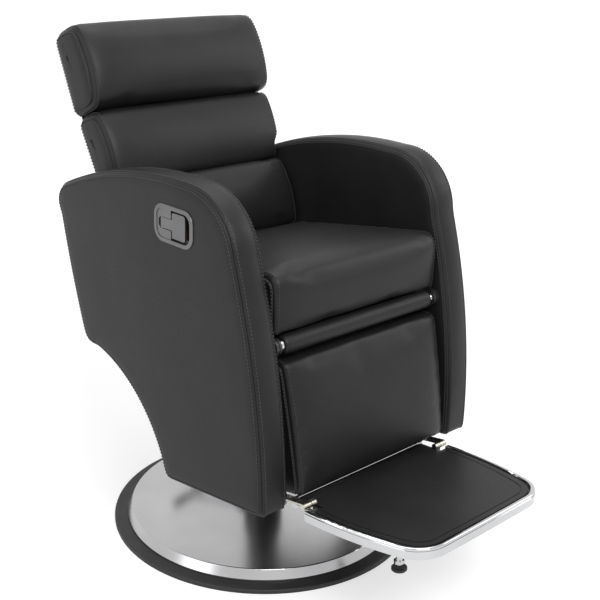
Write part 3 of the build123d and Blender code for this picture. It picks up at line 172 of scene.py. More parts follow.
def plywood(name):
    """Raw plywood: long grain with thin dark lines."""
    made, tree, shader, place = new_material(name)
    along = add_node(tree, "ShaderNodeMapping", {"Vector": place, "Scale": (9.0, 1.0, 12.0)}).outputs["Vector"]
    grain = noise_of(tree, along, 22.0, 6.0, 0.6)
    tree.links.new(tint(tree, grain, (0.2, 0.085, 0.03), (0.4, 0.2, 0.09)), shader.inputs["Base Color"])
    tree.links.new(spread(tree, grain, 0.55, 0.75), shader.inputs["Roughness"])
    bumped(tree, shader, [(grain, 0.0003, 0.3)])
    return made


def paint(name, dark, light, low_rough, high_rough, metallic=0.0):
    """Powder-coated or cast surface with a fine speckle."""
    made, tree, shader, place = new_material(name)
    speckle = noise_of(tree, place, 1300.0, 2.0)
    slow = noise_of(tree, place, 12.0, 2.0)
    tree.links.new(tint(tree, slow, dark, light), shader.inputs["Base Color"])
    tree.links.new(spread(tree, speckle, low_rough, high_rough), shader.inputs["Roughness"])
    shader.inputs["Metallic"].default_value = metallic
    bumped(tree, shader, [(speckle, 0.00012, 0.3)])
    return made


skin = leather("black leather", (0.0095, 0.0095, 0.0102), (0.0145, 0.0145, 0.0156), 0.36, 0.5)
thread = rubber("black thread", (0.028, 0.028, 0.029), (0.048, 0.048, 0.05), 0.45, 0.6)
chrome = metal("polished chrome", (0.5, 0.505, 0.515), (0.6, 0.605, 0.61), 0.06, 0.13)
nickel = metal("worn nickel", (0.42, 0.4, 0.34), (0.58, 0.56, 0.5), 0.16, 0.3, scratch=0.3)
steel_top = spun_steel("spun stainless")
zinc = metal("zinc plate", (0.5, 0.51, 0.53), (0.62, 0.63, 0.64), 0.25, 0.4, scratch=0.3)
bronze = metal("oiled bronze", (0.42, 0.27, 0.1), (0.55, 0.37, 0.16), 0.3, 0.45, scratch=0.3)
black_rubber = rubber("black rubber", (0.012, 0.012, 0.012), (0.02, 0.02, 0.02))
mat_rubber = leather("black mat", (0.009, 0.009, 0.01), (0.015, 0.015, 0.016), 0.4, 0.52, 1100.0)
black_paint = paint("black paint", (0.014, 0.014, 0.015), (0.02, 0.02, 0.021), 0.32, 0.45)
grey_paint = paint("grey casting", (0.12, 0.12, 0.124), (0.17, 0.17, 0.174), 0.3, 0.42, 0.85)
wood = plywood("plywood")

looks = {
    "base_cover": steel_top, "base_ring": black_rubber, "base_plate": black_paint, "pump_housing": black_paint,
    "pump_guide": chrome, "pump_collar": chrome, "pump_ram": chrome, "base_bolts": zinc, "pedal_pin": zinc,
    "pedal_lever": chrome, "pedal_sleeves": black_rubber, "thrust_washer": bronze, "swivel_hub": black_paint,
    "handle_bezel": grey_paint, "handle_paddle": grey_paint, "knee_caps": chrome, "hinge_bar": chrome,
    "foot_rim": chrome, "foot_stem": chrome, "foot_glide": black_rubber, "foot_mat": mat_rubber,
    "foot_tray": black_paint, "foot_lugs": nickel, "legrest_feet": nickel, "seat_apron": black_paint,
}
by_slot = {
    "upholstery": skin, "stainless": steel_top, "bright_steel": chrome, "black_steel": black_paint,
    "zinc_steel": zinc, "bearing": bronze, "grey_metal": grey_paint, "rubber": black_rubber, "plywood": wood,
}
for part in frame["record"]["subparts"]:
    node = nodes[part["node"]]
    look = looks.get(part["node"], by_slot[part["material_slot"]])
    node.data.materials.clear()
    node.data.materials.append(look)


# Mesh helpers

def mesh_object(name, verts, faces, look, smooth=True):
    """Mesh object in the row frame with one material."""
    mesh = bpy.data.meshes.new(name)
    mesh.from_pydata([tuple(v) for v in verts], [], faces)
    mesh.validate()
    made = bpy.data.objects.new(name, mesh)
    scene.collection.objects.link(made)
    mesh.materials.append(look)
    if smooth:
        mesh.polygons.foreach_set("use_smooth", [True] * len(mesh.polygons))
    fix = bmesh.new()
    fix.from_mesh(mesh)
    bmesh.ops.recalc_face_normals(fix, faces=fix.faces)
    fix.to_mesh(mesh)
    fix.free()
    return made


def ring_quads(rows, count, base=0):
    """Faces between the rings of a skin, count points in each, from point base on."""
    faces = []
    for row in range(rows - 1):
        here, there = base + row * count, base + (row + 1) * count
        for col in range(count):
            after = (col + 1) % count
            faces.append((here + col, here + after, there + after, there + col))
    return faces


def loft(name, rings, look):
    """Closed skin through rings of equal length, its first and last ring filled."""
    count = len(rings[0])
    verts = [point for ring in rings for point in ring]
    faces = ring_quads(len(rings), count)
    faces.append(tuple(range(count)))
    faces.append(tuple((len(rings) - 1) * count + col for col in range(count)))
    return mesh_object(name, verts, faces, look)


# Points of a rounded corner, how far its tangents reach, and the least radius of one
turn_points, turn_reach, least_radius = 5, 0.55, 0.003


def section_loop(corners, bulges, radii, counts):
    """Closed loop in 2D with bowed sides and rounded corners, always with the same number of points."""
    points = [Vector(corner) for corner in corners]
    total = len(points)
    sides = []
    for index in range(total):
        start, end = points[index], points[(index + 1) % total]
        along = end - start
        out = Vector((along.y, -along.x)).normalized()
        cut_in, cut_out = radii[index] / along.length, radii[(index + 1) % total] / along.length
        side = []
        for step in range(counts[index]):
            share = cut_in + (1 - cut_in - cut_out) * step / (counts[index] - 1)
            side.append(start + along * share + out * bulges[index] * 4 * share * (1 - share))
        sides.append(side)
    loop = []
    for index in range(total):
        loop.extend(sides[index])
        first, last = sides[index][-1], sides[(index + 1) % total][0]
        run_in = (sides[index][-1] - sides[index][-2]).normalized()
        run_out = (sides[(index + 1) % total][0] - sides[(index + 1) % total][1]).normalized()
        reach = (last - first).length * turn_reach
        for step in range(1, turn_points + 1):
            share = step / (turn_points + 1)
            loop.append(
                first * (1 - share) ** 3 + (first + run_in * reach) * 3 * share * (1 - share) ** 2
                + (last + run_out * reach) * 3 * share ** 2 * (1 - share) + last * share ** 3
            )
    return loop


def inset_section(corners, bulges, radii, counts, inset):
    """The same cut with its four sides moved inwards by inset."""
    points = [Vector(corner) for corner in corners]
    moved = []
    for index, here in enumerate(points):
        run_in = (here - points[index - 1]).normalized()
        run_out = (points[(index + 1) % len(points)] - here).normalized()
        inward_in, inward_out = Vector((-run_in.y, run_in.x)), Vector((-run_out.y, run_out.x))
        share = inset / (1 + inward_in.dot(inward_out))
        moved.append(here + (inward_in + inward_out) * share)
    return section_loop(moved, bulges, [max(r - inset / 2, least_radius) for r in radii], counts)


stitch_pitch, stitch_length, stitch_thick, stitch_lift = 0.0068, 0.0044, 0.00085, 0.0004
# A stitch is four rings along its thread, low at its ends, each a trapezium across it
stitch_rings = ((-0.5, 0.0), (-0.25, 0.7), (0.25, 0.7), (0.5, 0.0))
stitch_corners = ((-1, -1), (1, -1), (0.6, 0.6), (-0.6, 0.6))


def stitch_run(name, points, normals, body):
    """Closed row of short thread stitches along points on a surface, as one piece."""
    verts, faces = [], []
    run = list(zip(points, normals))
    run.append(run[0])
    travelled, next_at = 0.0, stitch_pitch / 2
    for (here, normal), (there, _) in zip(run, run[1:]):
        span = (there - here).length
        if span < 1e-7:
            continue
        along = (there - here) / span
        while next_at <= travelled + span:
            middle = here + along * (next_at - travelled) + normal * stitch_lift
            side = along.cross(normal).normalized()
            base = len(verts)
            for end, high in stitch_rings:
                centre = middle + along * stitch_length * end + normal * stitch_thick * high
                verts += [centre + (side * x + normal * z) * stitch_thick for x, z in stitch_corners]
            faces += ring_quads(len(stitch_rings), 4, base)
            faces.append((base, base + 1, base + 2, base + 3))
            faces.append((base + 12, base + 13, base + 14, base + 15))
            next_at += stitch_pitch
        travelled += span
    made = mesh_object(name, verts, faces, thread)
    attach(made, body)


def stitch_rows(name, rings, rows, first_side, body, lean):
    """Rows of stitches along some rings of a skin, whose normals are made to point outwards.

    first_side is the sign of X on the side of the first ring. lean is how much that side counts for what outwards is,
    against the direction away from the ring's centre.
    """
    for label, row in rows:
        before, here, after = rings[row - 1], rings[row], rings[row + 1]
        total = len(here)
        normals = [
            (here[(i + 1) % total] - here[i - 1]).cross(after[i] - before[i]).normalized() for i in range(total)
        ]
        centre = sum(here, Vector()) / total
        out = Vector((first_side if row < len(rings) / 2 else -first_side, 0, 0)) * lean
        facing = sum(normal.dot((point - centre).normalized() + out) for normal, point in zip(normals, here))
        flip = 1 if facing > 0 else -1
        stitch_run(f"{name}_stitches_{label}", here, [normal * flip for normal in normals], body)


# Arms

arm_inner, arm_outer = 0.2219, 0.2898
# Turning points of an arm's outline in Y and Z, from the sole round the rear to the rear of the top
arm_tail = [
    (-0.030, 0.191), (0.084, 0.350), (0.207, 0.401), (0.239, 0.406), (0.249, 0.421), (0.288, 0.540), (0.319, 0.660),
    (0.327, 0.700), (0.306, 0.722),
]
# The left arm bows a little further forward than the right one
arm_spots = {
    -1: [
        (-0.315, 0.228), *arm_tail, (0.100, 0.785), (-0.112, 0.799), (-0.184, 0.771), (-0.229, 0.693), (-0.284, 0.491),
    ],
    1: [
        (-0.316, 0.229), *arm_tail, (0.100, 0.788), (-0.112, 0.804), (-0.198, 0.780), (-0.243, 0.693), (-0.295, 0.491),
    ],
}
# Arcs of the outline: the turning point that each starts at, and its points
arm_arcs = ((1, 50), (3, 14), (5, 44), (7, 16), (9, 76), (11, 32), (13, 76))
sole_points, sole_bulge, arm_smoothing = 50, 0.0006, 4


def arc_points(start, middle, end, count):
    """Points of the arc through three places, without its last one."""
    a, b, c = Vector(start), Vector(middle), Vector(end)
    d = 2 * (a.x * (b.y - c.y) + b.x * (c.y - a.y) + c.x * (a.y - b.y))
    centre = Vector((
        (a.length_squared * (b.y - c.y) + b.length_squared * (c.y - a.y) + c.length_squared * (a.y - b.y)) / d,
        (a.length_squared * (c.x - b.x) + b.length_squared * (a.x - c.x) + c.length_squared * (b.x - a.x)) / d,
    ))
    turns = [math.atan2((p - centre).y, (p - centre).x) for p in (a, b, c)]
    sweep = (turns[2] - turns[0]) % math.tau
    if (turns[1] - turns[0]) % math.tau > sweep:
        sweep -= math.tau
    radius = (a - centre).length
    return [
        centre + Vector((math.cos(turns[0] + sweep * i / count), math.sin(turns[0] + sweep * i / count))) * radius
        for i in range(count)
    ]


def arm_loop(side, inset):
    """Outline of an arm in Y and Z, moved inwards by inset, its corners a little rounded."""
    spots = [Vector(spot) for spot in arm_spots[side]]
    moved = []
    for index, here in enumerate(spots):
        run_in = (here - spots[index - 1]).normalized()
        run_out = (spots[(index + 1) % len(spots)] - here).normalized()
        along = run_in + run_out
        inward = Vector((-along.y, along.x)).normalized()
        reach = inset if index > 1 else max(inset, -sole_bulge)
        moved.append(here + inward * (reach / max(inward.dot(Vector((-run_in.y, run_in.x))), 0.5)))
    points = [moved[0].lerp(moved[1], i / sole_points) for i in range(sole_points)]
    for first, count in arm_arcs:
        points += arc_points(moved[first], moved[first + 1], moved[(first + 2) % len(moved)], count)
    for _ in range(arm_smoothing):
        points = [(points[i - 1] + points[i] * 2 + points[(i + 1) % len(points)]) / 4 for i in range(len(points))]
    return points


def is_inside(loop, y, z):
    """Which of the places are inside a closed loop."""
    inside = np.zeros(y.shape, bool)
    for here, there in zip(loop, loop[1:] + loop[:1]):
        crosses = (here.y > z) != (there.y > z)
        rise = there.y - here.y
        inside ^= crosses & (y < here.x + (z - here.y) * (there.x - here.x) / (rise if rise else 1.0))
    return inside


def fill_face(loop, hole):
    """Even triangles over the inside of a loop, round a hole if there is one.

    Gives the new points, each with its distance to the nearest edge, and the triangles over loop + hole + points.
    """
    step, row_share, edge_share, least_area, nearness = 0.013, 0.87, 0.6, 1e-7, 1e-7
    edge = np.array([tuple(p) for p in loop + hole])
    ys = np.arange(edge[:, 0].min(), edge[:, 0].max(), step)
    zs = np.arange(edge[:, 1].min(), edge[:, 1].max(), step * row_share)
    y, z = np.meshgrid(ys, zs)
    y = (y + (np.arange(len(zs)) % 2)[:, None] * step / 2).ravel()
    z = z.ravel()
    keep = is_inside(loop, y, z)
    if hole:
        keep &= ~is_inside(hole, y, z)
    y, z = y[keep], z[keep]
    reach = np.sqrt(((np.stack([y, z], 1)[:, None] - edge[None]) ** 2).sum(2)).min(1)
    free = reach > step * edge_share
    y, z, reach = y[free], z[free], reach[free]
    spots = list(loop) + list(hole) + [Vector(p) for p in zip(y, z)]
    rims = [(i, (i + 1) % len(loop)) for i in range(len(loop))]
    rims += [(len(loop) + i, len(loop) + (i + 1) % len(hole)) for i in range(len(hole))]
    found = geometry.delaunay_2d_cdt(spots, rims, [], 0, nearness)
    order = {new: old[0] for new, old in enumerate(found[3]) if old}
    triangles = [tuple(order[i] for i in face) for face in found[2] if all(i in order for i in face)]
    corners = np.array([[tuple(spots[i]) for i in face] for face in triangles])
    centre = corners.mean(1)
    sides = corners[:, 1:] - corners[:, :1]
    area = abs(sides[:, 0, 0] * sides[:, 1, 1] - sides[:, 0, 1] * sides[:, 1, 0]) / 2
    good = is_inside(loop, centre[:, 0], centre[:, 1]) & (area > least_area)
    if hole:
        good &= ~is_inside(hole, centre[:, 0], centre[:, 1])
    return spots[len(loop) + len(hole):], reach, [face for face, ok in zip(triangles, good) if ok]


def rounded_loop(length, height, corner, count=10):
    """Rounded rectangle round the origin."""
    loop = []
    for cx, cy, start in ((1, 1, 0), (-1, 1, 90), (-1, -1, 180), (1, -1, 270)):
        for step in range(count + 1):
            turn = math.radians(start + 90 * step / count)
            loop.append(Vector((
                cx * (length / 2 - corner) + corner * math.cos(turn),
                cy * (height / 2 - corner) + corner * math.sin(turn),
            )))
    return loop


# Depth under the outer face and inset from the outline, from a face over its seam to the crown of the boxing
arm_profile = [
    (-0.0008, 0.030), (-0.0007, 0.024), (-0.0002, 0.017), (0.0005, 0.0115), (0.0015, 0.0074), (0.0027, 0.0046),
    (0.0041, 0.0029), (0.0052, 0.0028), (0.0060, 0.0046), (0.0068, 0.0024), (0.0082, 0.0006), (0.0115, -0.0012),
    (0.0175, -0.0029), (0.0255, -0.0041), (0.03395, -0.0045),
]
# Rows of that profile, from a face on, that carry stitches
arm_face_row, arm_band_row = 4, 11
arm_swell = {-1: 0.0004, 1: 0.0018}
face_crown, face_crown_reach = 0.0009, 0.03
crease_angle = math.radians(60)
# The bezel of the release handle lies over a pocket in the right arm
bezel_y, bezel_z = -0.066, 0.719
pocket_length, pocket_height, pocket_corner, pocket_floor = 0.103, 0.062, 0.019, -0.262


def arm(name, node, side, hole):
    """Padded arm with a seam round each face, its rows of stitches and a pocket if it has a hole."""
    outer = arm_outer + arm_swell[side]
    thickness = outer - arm_inner
    share = thickness / (arm_outer - arm_inner)
    half = [(depth * share, inset) for depth, inset in arm_profile]
    whole = half + [(thickness - depth, inset) for depth, inset in reversed(half[:-1])]
    loops = {}
    rings = []
    for depth, inset in whole:
        if inset not in loops:
            loops[inset] = arm_loop(side, inset)
        x = side * (outer - depth)
        rings.append([Vector((x, p.x, p.y)) for p in loops[inset]])
    count = len(rings[0])
    verts = [point for ring in rings for point in ring]
    faces = ring_quads(len(rings), count)
    inner_edge = loops[whole[0][1]]
    for row, opening, out in ((0, hole, side), (len(rings) - 1, [], -side)):
        spots, reach, triangles = fill_face(inner_edge, opening)
        x = rings[row][0].x
        places = {i: row * count + i for i in range(count)}
        for index, spot in enumerate(opening):
            places[count + index] = len(verts)
            verts.append(Vector((x, spot.x, spot.y)))
        for index, (spot, away) in enumerate(zip(spots, reach)):
            places[count + len(opening) + index] = len(verts)
            crown = face_crown * (1 - math.exp(-away / face_crown_reach))
            verts.append(Vector((x + out * crown, spot.x, spot.y)))
        faces += [tuple(places[i] for i in face) for face in triangles]
        if opening:
            first, base, total = places[count], len(verts), len(opening)
            verts += [Vector((pocket_floor, spot.x, spot.y)) for spot in opening]
            faces += [(first + i, first + (i + 1) % total, base + (i + 1) % total, base + i) for i in range(total)]
            faces.append(tuple(base + i for i in range(total)))
    made = mesh_object(name, verts, faces, skin)
    made.data.set_sharp_from_angle(angle=crease_angle)
    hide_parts(node)
    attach(made, "seat")
    last = len(whole) - 1
    rows = (
        ("face", arm_face_row), ("band", arm_band_row),
        ("inner_band", last - arm_band_row), ("inner_face", last - arm_face_row),
    )
    stitch_rows(name, rings, rows, side, "seat", 1)


def bezel_plate():
    """Flat plate in the bezel, flush with the paddle and cut out round its stem, which swings on a pin in it."""
    rear, front, half, outer, inner = 0.0485, 0.0065, 0.0292, -0.2924, -0.2908
    slot, slot_end, slot_corner, corner, steps = 0.0112, 0.0425, 0.005, 0.018, 8
    outline = [(front, half), (front, slot), (slot_end - slot_corner, slot), (slot_end, slot - slot_corner)]
    outline += [(slot_end, slot_corner - slot), (slot_end - slot_corner, -slot), (front, -slot), (front, -half)]
    for start, z in ((-90, corner - half), (0, half - corner)):
        for step in range(steps + 1):
            turn = math.radians(start + 90 * step / steps)
            outline.append((rear - corner + corner * math.cos(turn), z + corner * math.sin(turn)))
    count = len(outline)
    verts = [Vector((x, bezel_y + y, bezel_z + z)) for x in (outer, inner) for y, z in outline]
    faces = ring_quads(2, count)
    fronts = geometry.tessellate_polygon([[Vector((y, z, 0)) for y, z in outline]])
    faces += [tuple(face) for face in fronts] + [tuple(count + i for i in reversed(face)) for face in fronts]
    made = mesh_object("bezel_plate", verts, faces, grey_paint, smooth=False)
    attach(made, "seat")


bezel_plate()
arm("arm_left", "arm_pad_left", 1, [])
pocket = rounded_loop(pocket_length, pocket_height, pocket_corner)
arm("arm_right", "arm_pad_right", -1, [p + Vector((bezel_y, bezel_z)) for p in pocket])


# Pads of the backrest, the seat and the legrest

def leaning_plane(foot, degrees):
    """Places on a plane that leans back from its foot: t is how far rearwards of it, s is how far up along it."""
    turn = math.radians(degrees)

    def place(x, t, s):
        return Vector((
            x, foot.x + t * math.cos(turn) + s * math.sin(turn), foot.y - t * math.sin(turn) + s * math.cos(turn),
        ))
    return place


on_back = leaning_plane(Vector((0.139, 0.594)), 24.5)
on_leg = leaning_plane(Vector((-0.312, 0.238)), 10.1)


def on_seat(x, t, s):
    """Place of a point of the seat, whose plane isn't tipped."""
    return Vector((x, t, s))


def fullness(share):
    """How much of a pad's crown is left at a share of its half width."""
    edge_power, crown_power = 7.0, 0.6
    return (1 - min(abs(share), 1.0) ** edge_power) ** crown_power


# Cuts of a pad on the way to its side, as shares of its half width
width_stations = [0.0, 0.1, 0.2, 0.3, 0.4, 0.5, 0.59, 0.67, 0.74, 0.8, 0.85, 0.89, 0.925, 0.95, 0.97, 0.985, 1.0]
cloth_frames = 20


def inflate(piece, held, pressure, most):
    """Blow the free skin up as cloth that is held at its seams, with a limit to how far a point may move."""
    start = np.array([vert.co[:] for vert in piece.data.vertices])
    balloon = bpy.data.objects.new(piece.name + "_balloon", piece.data.copy())
    scene.collection.objects.link(balloon)
    group = balloon.vertex_groups.new(name="held")
    group.add(held, 1.0, "REPLACE")
    cloth = balloon.modifiers.new("cloth", "CLOTH")
    cloth.point_cache.frame_start, cloth.point_cache.frame_end = 1, cloth_frames
    sheet = cloth.settings
    sheet.quality = 6
    sheet.mass = 0.25
    sheet.air_damping = 3.0
    sheet.tension_stiffness = sheet.compression_stiffness = 30.0
    sheet.shear_stiffness = 12.0
    sheet.bending_stiffness = 6.0
    sheet.shrink_min = -0.004
    sheet.vertex_group_mass = "held"
    sheet.use_pressure = True
    sheet.uniform_pressure_force = pressure
    sheet.effector_weights.gravity = 0.0
    cloth.collision_settings.use_collision = False
    for step in range(1, cloth_frames + 1):
        scene.frame_set(step)
    blown = balloon.evaluated_get(bpy.context.evaluated_depsgraph_get()).to_mesh()
    moved = np.array([vert.co[:] for vert in blown.vertices]) - start
    far = np.linalg.norm(moved, axis=1)
    moved *= (most * np.tanh(far / most) / np.maximum(far, 1e-9))[:, None]
    for vert, place in zip(piece.data.vertices, start + moved):
        vert.co = place
    bpy.data.objects.remove(balloon)
    scene.frame_set(1)


# Rings of a side panel, from its middle: inset from the pad's cut, and share of the panel's bulge
panel_steps = ((0.026, 1.0), (0.019, 0.94), (0.013, 0.8), (0.0085, 0.58), (0.0048, 0.3))
# Rings over the seam of a side panel: inset, and how far they are outside the panel's edge
seam_steps = ((0.0030, 0.0002), (0.0036, -0.0022), (0.0010, -0.0008))
# Rings that fill the panel's middle, as shares of its first ring
centre_shares = (0.3, 0.65)
panel_back, panel_lip, skin_back = 0.002, 0.0006, 0.0034
# Rows that carry stitches, from the middle of a side panel on: on the panel, and on the skin beside the seam
side_row, front_row = 6, 11


def pad(
    name, node, body, place, section, halves, bulges=(0.003, 0.003), flare=None, rear=(10, 24),
    blow=(2.0, 0.004),
):
    """Boxed pad: a crowned skin across the width, a seam down each side and a bowed side panel.

    section(full) gives the corners, bulges, radii and counts of a cut where that much of the crown is left.
    halves are how far it reaches to both sides, rear is the stretch of a cut that lies on its board, and blow is
    the pressure and the limit of its cloth.
    """
    end_cut = section(0.0)

    def across(x, point):
        widen = flare(point, x) if flare else 1.0
        return place(x * widen, point.x, point.y)

    def panel(side):
        """Rings of a side panel, from its middle out to the seam."""
        edge, bulge = halves[side > 0] - panel_back, bulges[side > 0]
        steps = [(inset, panel_lip + bulge * share) for inset, share in panel_steps] + list(seam_steps)
        found = [[across(side * (edge + out), p) for p in inset_section(*end_cut, inset)] for inset, out in steps]
        centre = sum(found[0], Vector()) / len(found[0])
        return [[centre.lerp(p, share) for p in found[0]] for share in centre_shares] + found

    rings = panel(-1)
    for share in [-s for s in reversed(width_stations[:-1])] + width_stations[1:-1]:
        edge = halves[share > 0] - skin_back
        rings.append([across(share * edge, p) for p in section_loop(*section(fullness(share)))])
    rings += list(reversed(panel(1)))
    made = loft(name, rings, skin)
    count, last = len(rings[0]), len(rings) - 1
    held = [
        row * count + col for row in range(len(rings)) for col in range(count)
        if row < front_row or row > last - front_row or rear[0] <= col < rear[1]
    ]
    inflate(made, held, *blow)
    points = [vert.co.copy() for vert in made.data.vertices]
    rings = [points[row * count:(row + 1) * count] for row in range(len(rings))]
    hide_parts(node)
    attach(made, body)
    smooth = made.modifiers.new("smooth", "SUBSURF")
    smooth.levels = smooth.render_levels = 1
    rows = (
        ("left_front", front_row), ("left_side", side_row),
        ("right_front", last - front_row), ("right_side", last - side_row),
    )
    stitch_rows(name, rings, rows, -1, body, 2)


roll_rear, roll_ends, roll_draw, crown_left = 0.080, 0.003, 0.007, 0.45


def roll_section(front, foot, top, crown, low_round, high_round):
    """Cut of a back roll, as a function of how full it is there."""
    def cut(full):
        inset = roll_draw * (1 - full) ** 2
        return (
            [
                (front + inset, foot + inset), (roll_rear, foot + inset),
                (roll_rear, top - inset), (front + inset, top - inset),
            ],
            [roll_ends * full, 0.0, roll_ends * full, crown * (crown_left + (1 - crown_left) * full)],
            [low_round, 0.008, 0.018, high_round],
            [10, 14, 10, 30],
        )
    return cut


def middle_flare(p, x):
    """The middle roll gets wider above the arms, most of all on the left."""
    if x < 0:
        foot, height, widen = 0.150, 0.155, 0.0435
        return 1 + widen * max(p.y - foot, 0.0) / height
    step_foot, step_height, step_widen = 0.182, 0.03, 0.060
    slope_foot, slope_height, slope_widen = 0.212, 0.1, 0.020
    share = min(max((p.y - step_foot) / step_height, 0.0), 1.0)
    slope = slope_widen * max(p.y - slope_foot, 0.0) / slope_height
    return 1 + step_widen * share * share * (3 - 2 * share) + slope


pad(
    "back_roll_lower", "back_cushion_lower", "back", on_back,
    roll_section(0.001, -0.001, 0.153, 0.019, 0.022, 0.026), (0.2185, 0.2198),
)
pad(
    "back_roll_middle", "back_cushion_middle", "back", on_back,
    roll_section(0.009, 0.154, 0.308, 0.017, 0.022, 0.03), (0.2185, 0.2195), (0.003, 0.004), flare=middle_flare,
)
pad(
    "headrest_roll", "headrest_cushion", "back", on_back,
    roll_section(-0.006, 0.310, 0.484, 0.023, 0.034, 0.040), (0.231, 0.236), (0.004, 0.008),
)


def seat_cut(full):
    """Cut of the seat cushion: crowned top, rounded nose."""
    nose, rear, draw = -0.262, 0.136, 0.007
    inset = draw * (1 - full) ** 2
    return (
        [(nose + inset, 0.547), (rear, 0.513), (rear, 0.597 - inset), (nose + inset, 0.664 - inset)],
        [0.0, 0.0, 0.006 * full, 0.005 * full],
        [0.010, 0.006, 0.020, 0.036],
        [30, 10, 34, 14],
    )


pad(
    "seat_cushion_top", "seat_cushion", "seat", on_seat, seat_cut, (0.2190, 0.2205), (0.001, 0.001),
    rear=(0, 50), blow=(2.5, 0.006),
)


leg_height, leg_widen_left, leg_widen_right = 0.258, 0.010, 0.0479


def leg_cut(full):
    """Cut of the legrest pad, crowned in front, its rear edge raised behind the knee roll."""
    front, rear, draw, rear_rise = -0.012, 0.045, 0.009, 0.007
    inset = draw * (1 - full) ** 2
    return (
        [
            (front + inset, inset / 2), (rear, inset / 2),
            (rear, leg_height + rear_rise), (front + inset, leg_height - inset / 2),
        ],
        [0.0, 0.0, 0.002, 0.002 + 0.010 * full],
        [0.02, 0.006, 0.006, 0.02],
        [8, 26, 8, 34],
    )


def leg_flare(p, x):
    """The legrest pad gets wider towards its top."""
    return 1 + (leg_widen_left if x > 0 else leg_widen_right) * p.y / leg_height


pad(
    "legrest_cushion", "legrest_pad", "legrest", on_leg, leg_cut, (0.1990, 0.2120), (0.002, 0.004), flare=leg_flare,
    rear=(8, 54), blow=(2.5, 0.005),
)


# Knee roll, a tube in a leather sleeve

def knee_sleeve():
    """Leather sleeve with rounded ends and a slight unevenness."""
    centre = Vector((0, -0.257, 0.525))
    half, full_radius, end_share, end_length, roughness, steps = 0.199, 0.0185, 0.72, 0.011, 0.0003, 40
    round_from = half - end_length
    ends = [half, 0.1985, 0.1965, 0.193, round_from]
    straight = [-round_from + 2 * round_from * i / steps for i in range(1, steps)]
    stations = [-x for x in ends] + straight + ends[::-1]
    rings = []
    for x in stations:
        left = (half - abs(x)) / end_length
        radius = full_radius * (end_share + (1 - end_share) * math.sqrt(max(0.0, 1 - (1 - min(left, 1.0)) ** 2)))
        ring = []
        for step in range(steps):
            y, z = math.cos(math.tau * step / steps), math.sin(math.tau * step / steps)
            reach = radius + noise.noise(Vector((x * 30, y * 1.5, z * 1.5))) * roughness
            ring.append(centre + Vector((x, y * reach, z * reach)))
        rings.append(ring)
    made = loft("knee_sleeve", rings, skin)
    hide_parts("knee_roll")
    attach(made, "seat")


knee_sleeve()


# Rear panel, a board in leather
# How far back each of its rings is, and its inset from the panel's outline
rear_rings = (
    (0.0803, 0.001), (0.0806, 0.0), (0.0825, -0.0006), (0.0845, 0.0006), (0.0855, 0.004), (0.0862, 0.012),
    (0.0868, 0.04), (0.087, 0.09),
)


def rear_panel():
    """Thin padded panel that closes the backrest."""
    low, high, half, corner, least_corner = 0.004, 0.475, 0.2135, 0.012, 0.003
    middle = (low + high) / 2
    rings = []
    for t, inset in rear_rings:
        loop = rounded_loop(2 * (half - inset), high - low - 2 * inset, max(corner - inset, least_corner), 6)
        rings.append([on_back(p.x, t, middle + p.y) for p in loop])
    made = loft("rear_panel", rings, skin)
    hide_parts("back_panel")
    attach(made, "back")


rear_panel()


# Camera at the photograph's angle

focal_pixels, picture_pixels, sensor = 1112.097, 600, 36.0
camera_data = bpy.data.cameras.new("camera")
camera = bpy.data.objects.new("camera", camera_data)
scene.collection.objects.link(camera)
right = Vector((0.7266, -0.6864, 0.0304)).normalized()
back = Vector((-0.6535, -0.6767, 0.3393)).normalized()
up = back.cross(right).normalized()
right = up.cross(back)
turned = Matrix((right, up, back)).transposed()
camera.matrix_world = Matrix.Translation((-1.4598, -1.6088, 1.2788)) @ turned.to_4x4()
camera_data.sensor_fit = "HORIZONTAL"
camera_data.sensor_width = sensor
camera_data.lens = sensor * focal_pixels / picture_pixels
scene.camera = camera


# Floor, white to the camera and in reflections apart from the shadow under the chair

def seen_by(tree, *kinds):
    """Value that is 1 for light paths of these kinds, and else 0."""
    rays = add_node(tree, "ShaderNodeLightPath")
    value = rays.outputs[kinds[0]]
    for kind in kinds[1:]:
        either = add_node(tree, "ShaderNodeMath", {0: value, 1: rays.outputs[kind]}, operation="MAXIMUM")
        value = either.outputs["Value"]
    return value


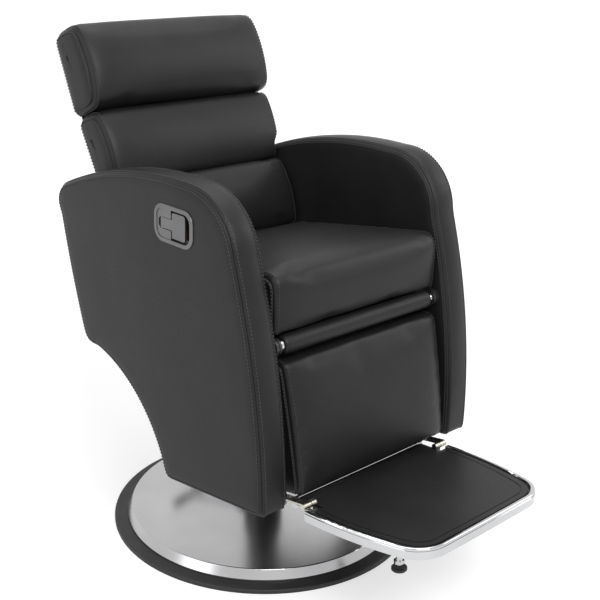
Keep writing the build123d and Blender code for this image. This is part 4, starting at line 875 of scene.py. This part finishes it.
floor_half = 40
floor_mesh = bpy.data.meshes.new("floor")
floor_mesh.from_pydata(
    [(x * floor_half, y * floor_half, 0) for x, y in ((-1, -1), (1, -1), (1, 1), (-1, 1))], [], [(0, 1, 2, 3)]
)
floor = bpy.data.objects.new("floor", floor_mesh)
scene.collection.objects.link(floor)
floor_look = bpy.data.materials.new("pale floor")
floor_look.use_nodes = True
tree = floor_look.node_tree
tree.nodes.clear()
output = tree.nodes.new("ShaderNodeOutputMaterial")
seen = seen_by(tree, "Is Camera Ray", "Is Glossy Ray")
spot = add_node(tree, "ShaderNodeTexCoord")
far = add_node(tree, "ShaderNodeVectorMath", {0: spot.outputs["Object"]}, operation="LENGTH")
rise = add_node(tree, "ShaderNodeMapRange", {
    "Value": far.outputs["Value"], "From Min": 0.9, "From Max": 3.0, "To Min": 0.6, "To Max": 1.0,
})
lit = add_node(tree, "ShaderNodeMath", {0: seen, 1: rise.outputs["Result"]}, operation="MULTIPLY")
diffuse = add_node(tree, "ShaderNodeBsdfDiffuse", {"Color": (0.62, 0.62, 0.62, 1)})
glow = add_node(tree, "ShaderNodeEmission", {"Strength": lit.outputs["Value"]})
both = add_node(tree, "ShaderNodeAddShader", {0: diffuse.outputs["BSDF"], 1: glow.outputs["Emission"]})
tree.links.new(both.outputs["Shader"], output.inputs["Surface"])
floor_mesh.materials.append(floor_look)


# World: white to the camera and in reflections, softer on matt surfaces

world = bpy.data.worlds.new("studio")
scene.world = world
world.use_nodes = True
tree = world.node_tree
tree.nodes.clear()
output = tree.nodes.new("ShaderNodeOutputWorld")
seen = seen_by(tree, "Is Camera Ray", "Is Glossy Ray", "Is Transmission Ray")
level = add_node(tree, "ShaderNodeMapRange", {"Value": seen, "To Min": 0.24, "To Max": 1.0})
sky = add_node(tree, "ShaderNodeBackground", {"Color": (1, 1, 1, 1), "Strength": level.outputs["Result"]})
tree.links.new(sky.outputs["Background"], output.inputs["Surface"])


# Lights

def area_light(name, place, target, size, power):
    """Soft light that looks at the target."""
    data = bpy.data.lights.new(name, "AREA")
    data.shape = "RECTANGLE"
    data.size, data.size_y = size
    data.energy = power
    made = bpy.data.objects.new(name, data)
    scene.collection.objects.link(made)
    made.location = place
    made.rotation_mode = "QUATERNION"
    made.rotation_quaternion = (Vector(target) - Vector(place)).to_track_quat("-Z", "Y")


area_light("key", (-1.2, -2.6, 3.0), (0, -0.1, 0.5), (1.8, 1.3), 78)
area_light("fill", (-3.2, 0.2, 1.8), (0, 0, 0.5), (1.6, 2.2), 26)
area_light("top", (0.3, 0.3, 3.4), (0, 0, 0.4), (2.4, 2.4), 40)
area_light("far", (2.6, -1.6, 2.2), (0, -0.1, 0.6), (1.2, 1.8), 22)

scene.view_settings.view_transform = "Standard"
